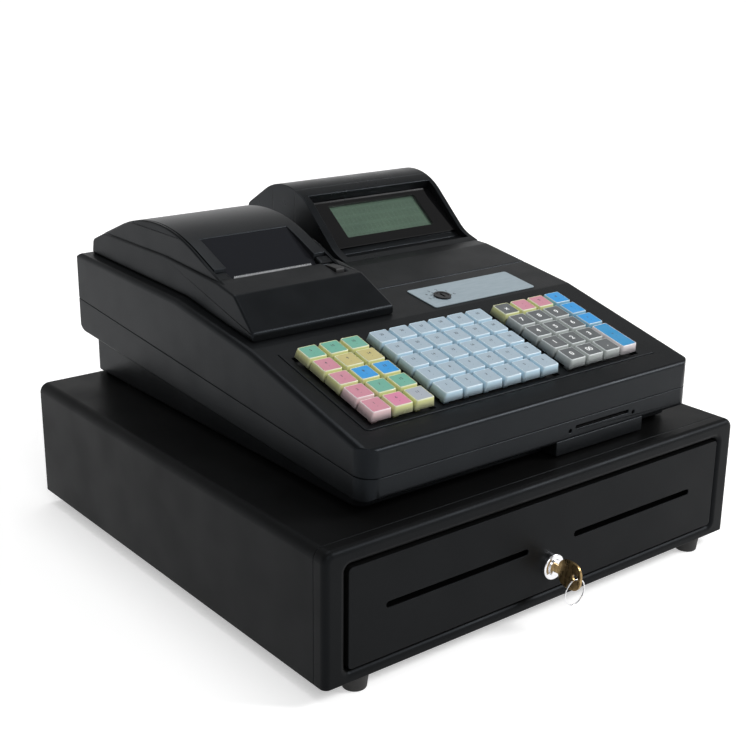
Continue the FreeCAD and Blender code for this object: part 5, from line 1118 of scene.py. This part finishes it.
# %% Split ring
RING_RADIUS = 10.0
RING_MIDDLE = (0.0, -225.25, 29.5)
WIRE_RADIUS = 0.36
TURNS = 1.93
HALF_RISE = WIRE_RADIUS * TURNS * 0.5
RING_STEPS = 72
WIRE_STEPS = 12

winding = Tree("wound_ring", Radius="Float", Rise="Float", Turns="Float", Wire="Float",
               Finish="Material")
spiral = winding.first("GeometryNodeCurveSpiral", Resolution=RING_STEPS,
                       Rotations=winding.given("Turns"),
                       Start_Radius=winding.given("Radius"), End_Radius=winding.given("Radius"),
                       Height=winding.given("Rise"))
profile = winding.first("GeometryNodeCurvePrimitiveCircle", Resolution=WIRE_STEPS,
                        Radius=winding.given("Wire"))
tube = winding.first("GeometryNodeCurveToMesh", Curve=spiral, Profile_Curve=profile, Fill_Caps=True)
winding.close(winding.painted(winding.real(tube)))
ring = thing_of("key_ring_shown", bpy.data.meshes.new("ring"))
winding.on(ring, Radius=RING_RADIUS * MM, Rise=2 * HALF_RISE * MM, Turns=TURNS,
           Wire=WIRE_RADIUS * MM, Finish=chrome.material)
settle(ring)
ring.data.transform(shift(*RING_MIDDLE) @ Matrix.Rotation(math.radians(90), 4, "X")
                    @ shift(0, 0, -HALF_RISE))
for face in ring.data.polygons:
    face.use_smooth = True
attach(ring, body_of["key_ring"])
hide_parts("key_ring")
print("ring", len(ring.data.polygons), "faces")

# %% [markdown]
# ## Marks round the mode lock
# The lock's positions are printed on the plate as short strokes pointing at the barrel, each with
# a plain figure. The strokes are one stroke repeated on an arc of points; the tree turns each to
# face the middle.

# %% Strokes and figures
LOCK_PLACE = (46.8, 20.2)
MARK_ANGLES = (-90, -54, -18, 18, 54, 90)
STROKE = (0.9, 2.0)
STROKE_RADIUS = 9.4
FIGURE_RADIUS = 13.0
FIGURE_SIZE = 4.0
PLATE_TOP = 0.8
INK_TOP = PLATE_TOP + 0.03

print_ink = Finish("print_ink", roughness=0.5)
print_ink.mottle(srgb(28, 32, 44), srgb(40, 44, 56), 0.6 * MM)
strokes = Tree("strokes_on_arc", Stroke="Object", Count="Int", Radius="Float", Start="Float",
               Step="Float", Finish="Material")
number = strokes.first("GeometryNodeInputIndex")
turn = strokes.math("MULTIPLY_ADD", number, strokes.given("Step"), strokes.given("Start"))
about = strokes.first("ShaderNodeCombineXYZ", Z=turn)
arm = strokes.first("ShaderNodeCombineXYZ", Y=strokes.given("Radius"))
reach = strokes.first("ShaderNodeVectorRotate", {"rotation_type": "EULER_XYZ"}, Vector=arm,
                      Rotation=about)
arc = strokes.first("GeometryNodeSetPosition", Position=reach,
                    Geometry=strokes.first("GeometryNodePoints", Count=strokes.given("Count")))
drawn = strokes.real(strokes.stamp(arc, "Stroke", Rotation=about))
strokes.close(strokes.painted(strokes.join(drawn, strokes.given("Geometry"))))

stroke_skin = loft([rounded(STROKE[0] / 2, STROKE[1] / 2, 0.15, height, 2)
                    for height in (PLATE_TOP - 0.1, INK_TOP)])
stroke = bpy.data.objects.new("stroke", mesh_of("stroke", *stroke_skin))
figures = bmesh.new()
for index, angle in enumerate(MARK_ANGLES):
    mesh = flat_text(str(index), FIGURE_SIZE)
    mesh.transform(shift(-FIGURE_RADIUS * math.sin(math.radians(angle)),
                         FIGURE_RADIUS * math.cos(math.radians(angle)), INK_TOP))
    figures.from_mesh(mesh)
mesh = bpy.data.meshes.new("lock_marks_shown")
figures.to_mesh(mesh)
figures.free()
lock_marks = thing_of("lock_marks_shown", mesh)
strokes.on(lock_marks, Stroke=stroke, Count=len(MARK_ANGLES), Radius=STROKE_RADIUS * MM,
           Start=math.radians(MARK_ANGLES[0]), Step=math.radians(MARK_ANGLES[1] - MARK_ANGLES[0]),
           Finish=print_ink.material)
settle(lock_marks)
lock_marks.data.transform(MIDDLE @ shift(*LOCK_PLACE, 0))
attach(lock_marks, body_of["mode_plate"])
print("marks round the lock", len(MARK_ANGLES))
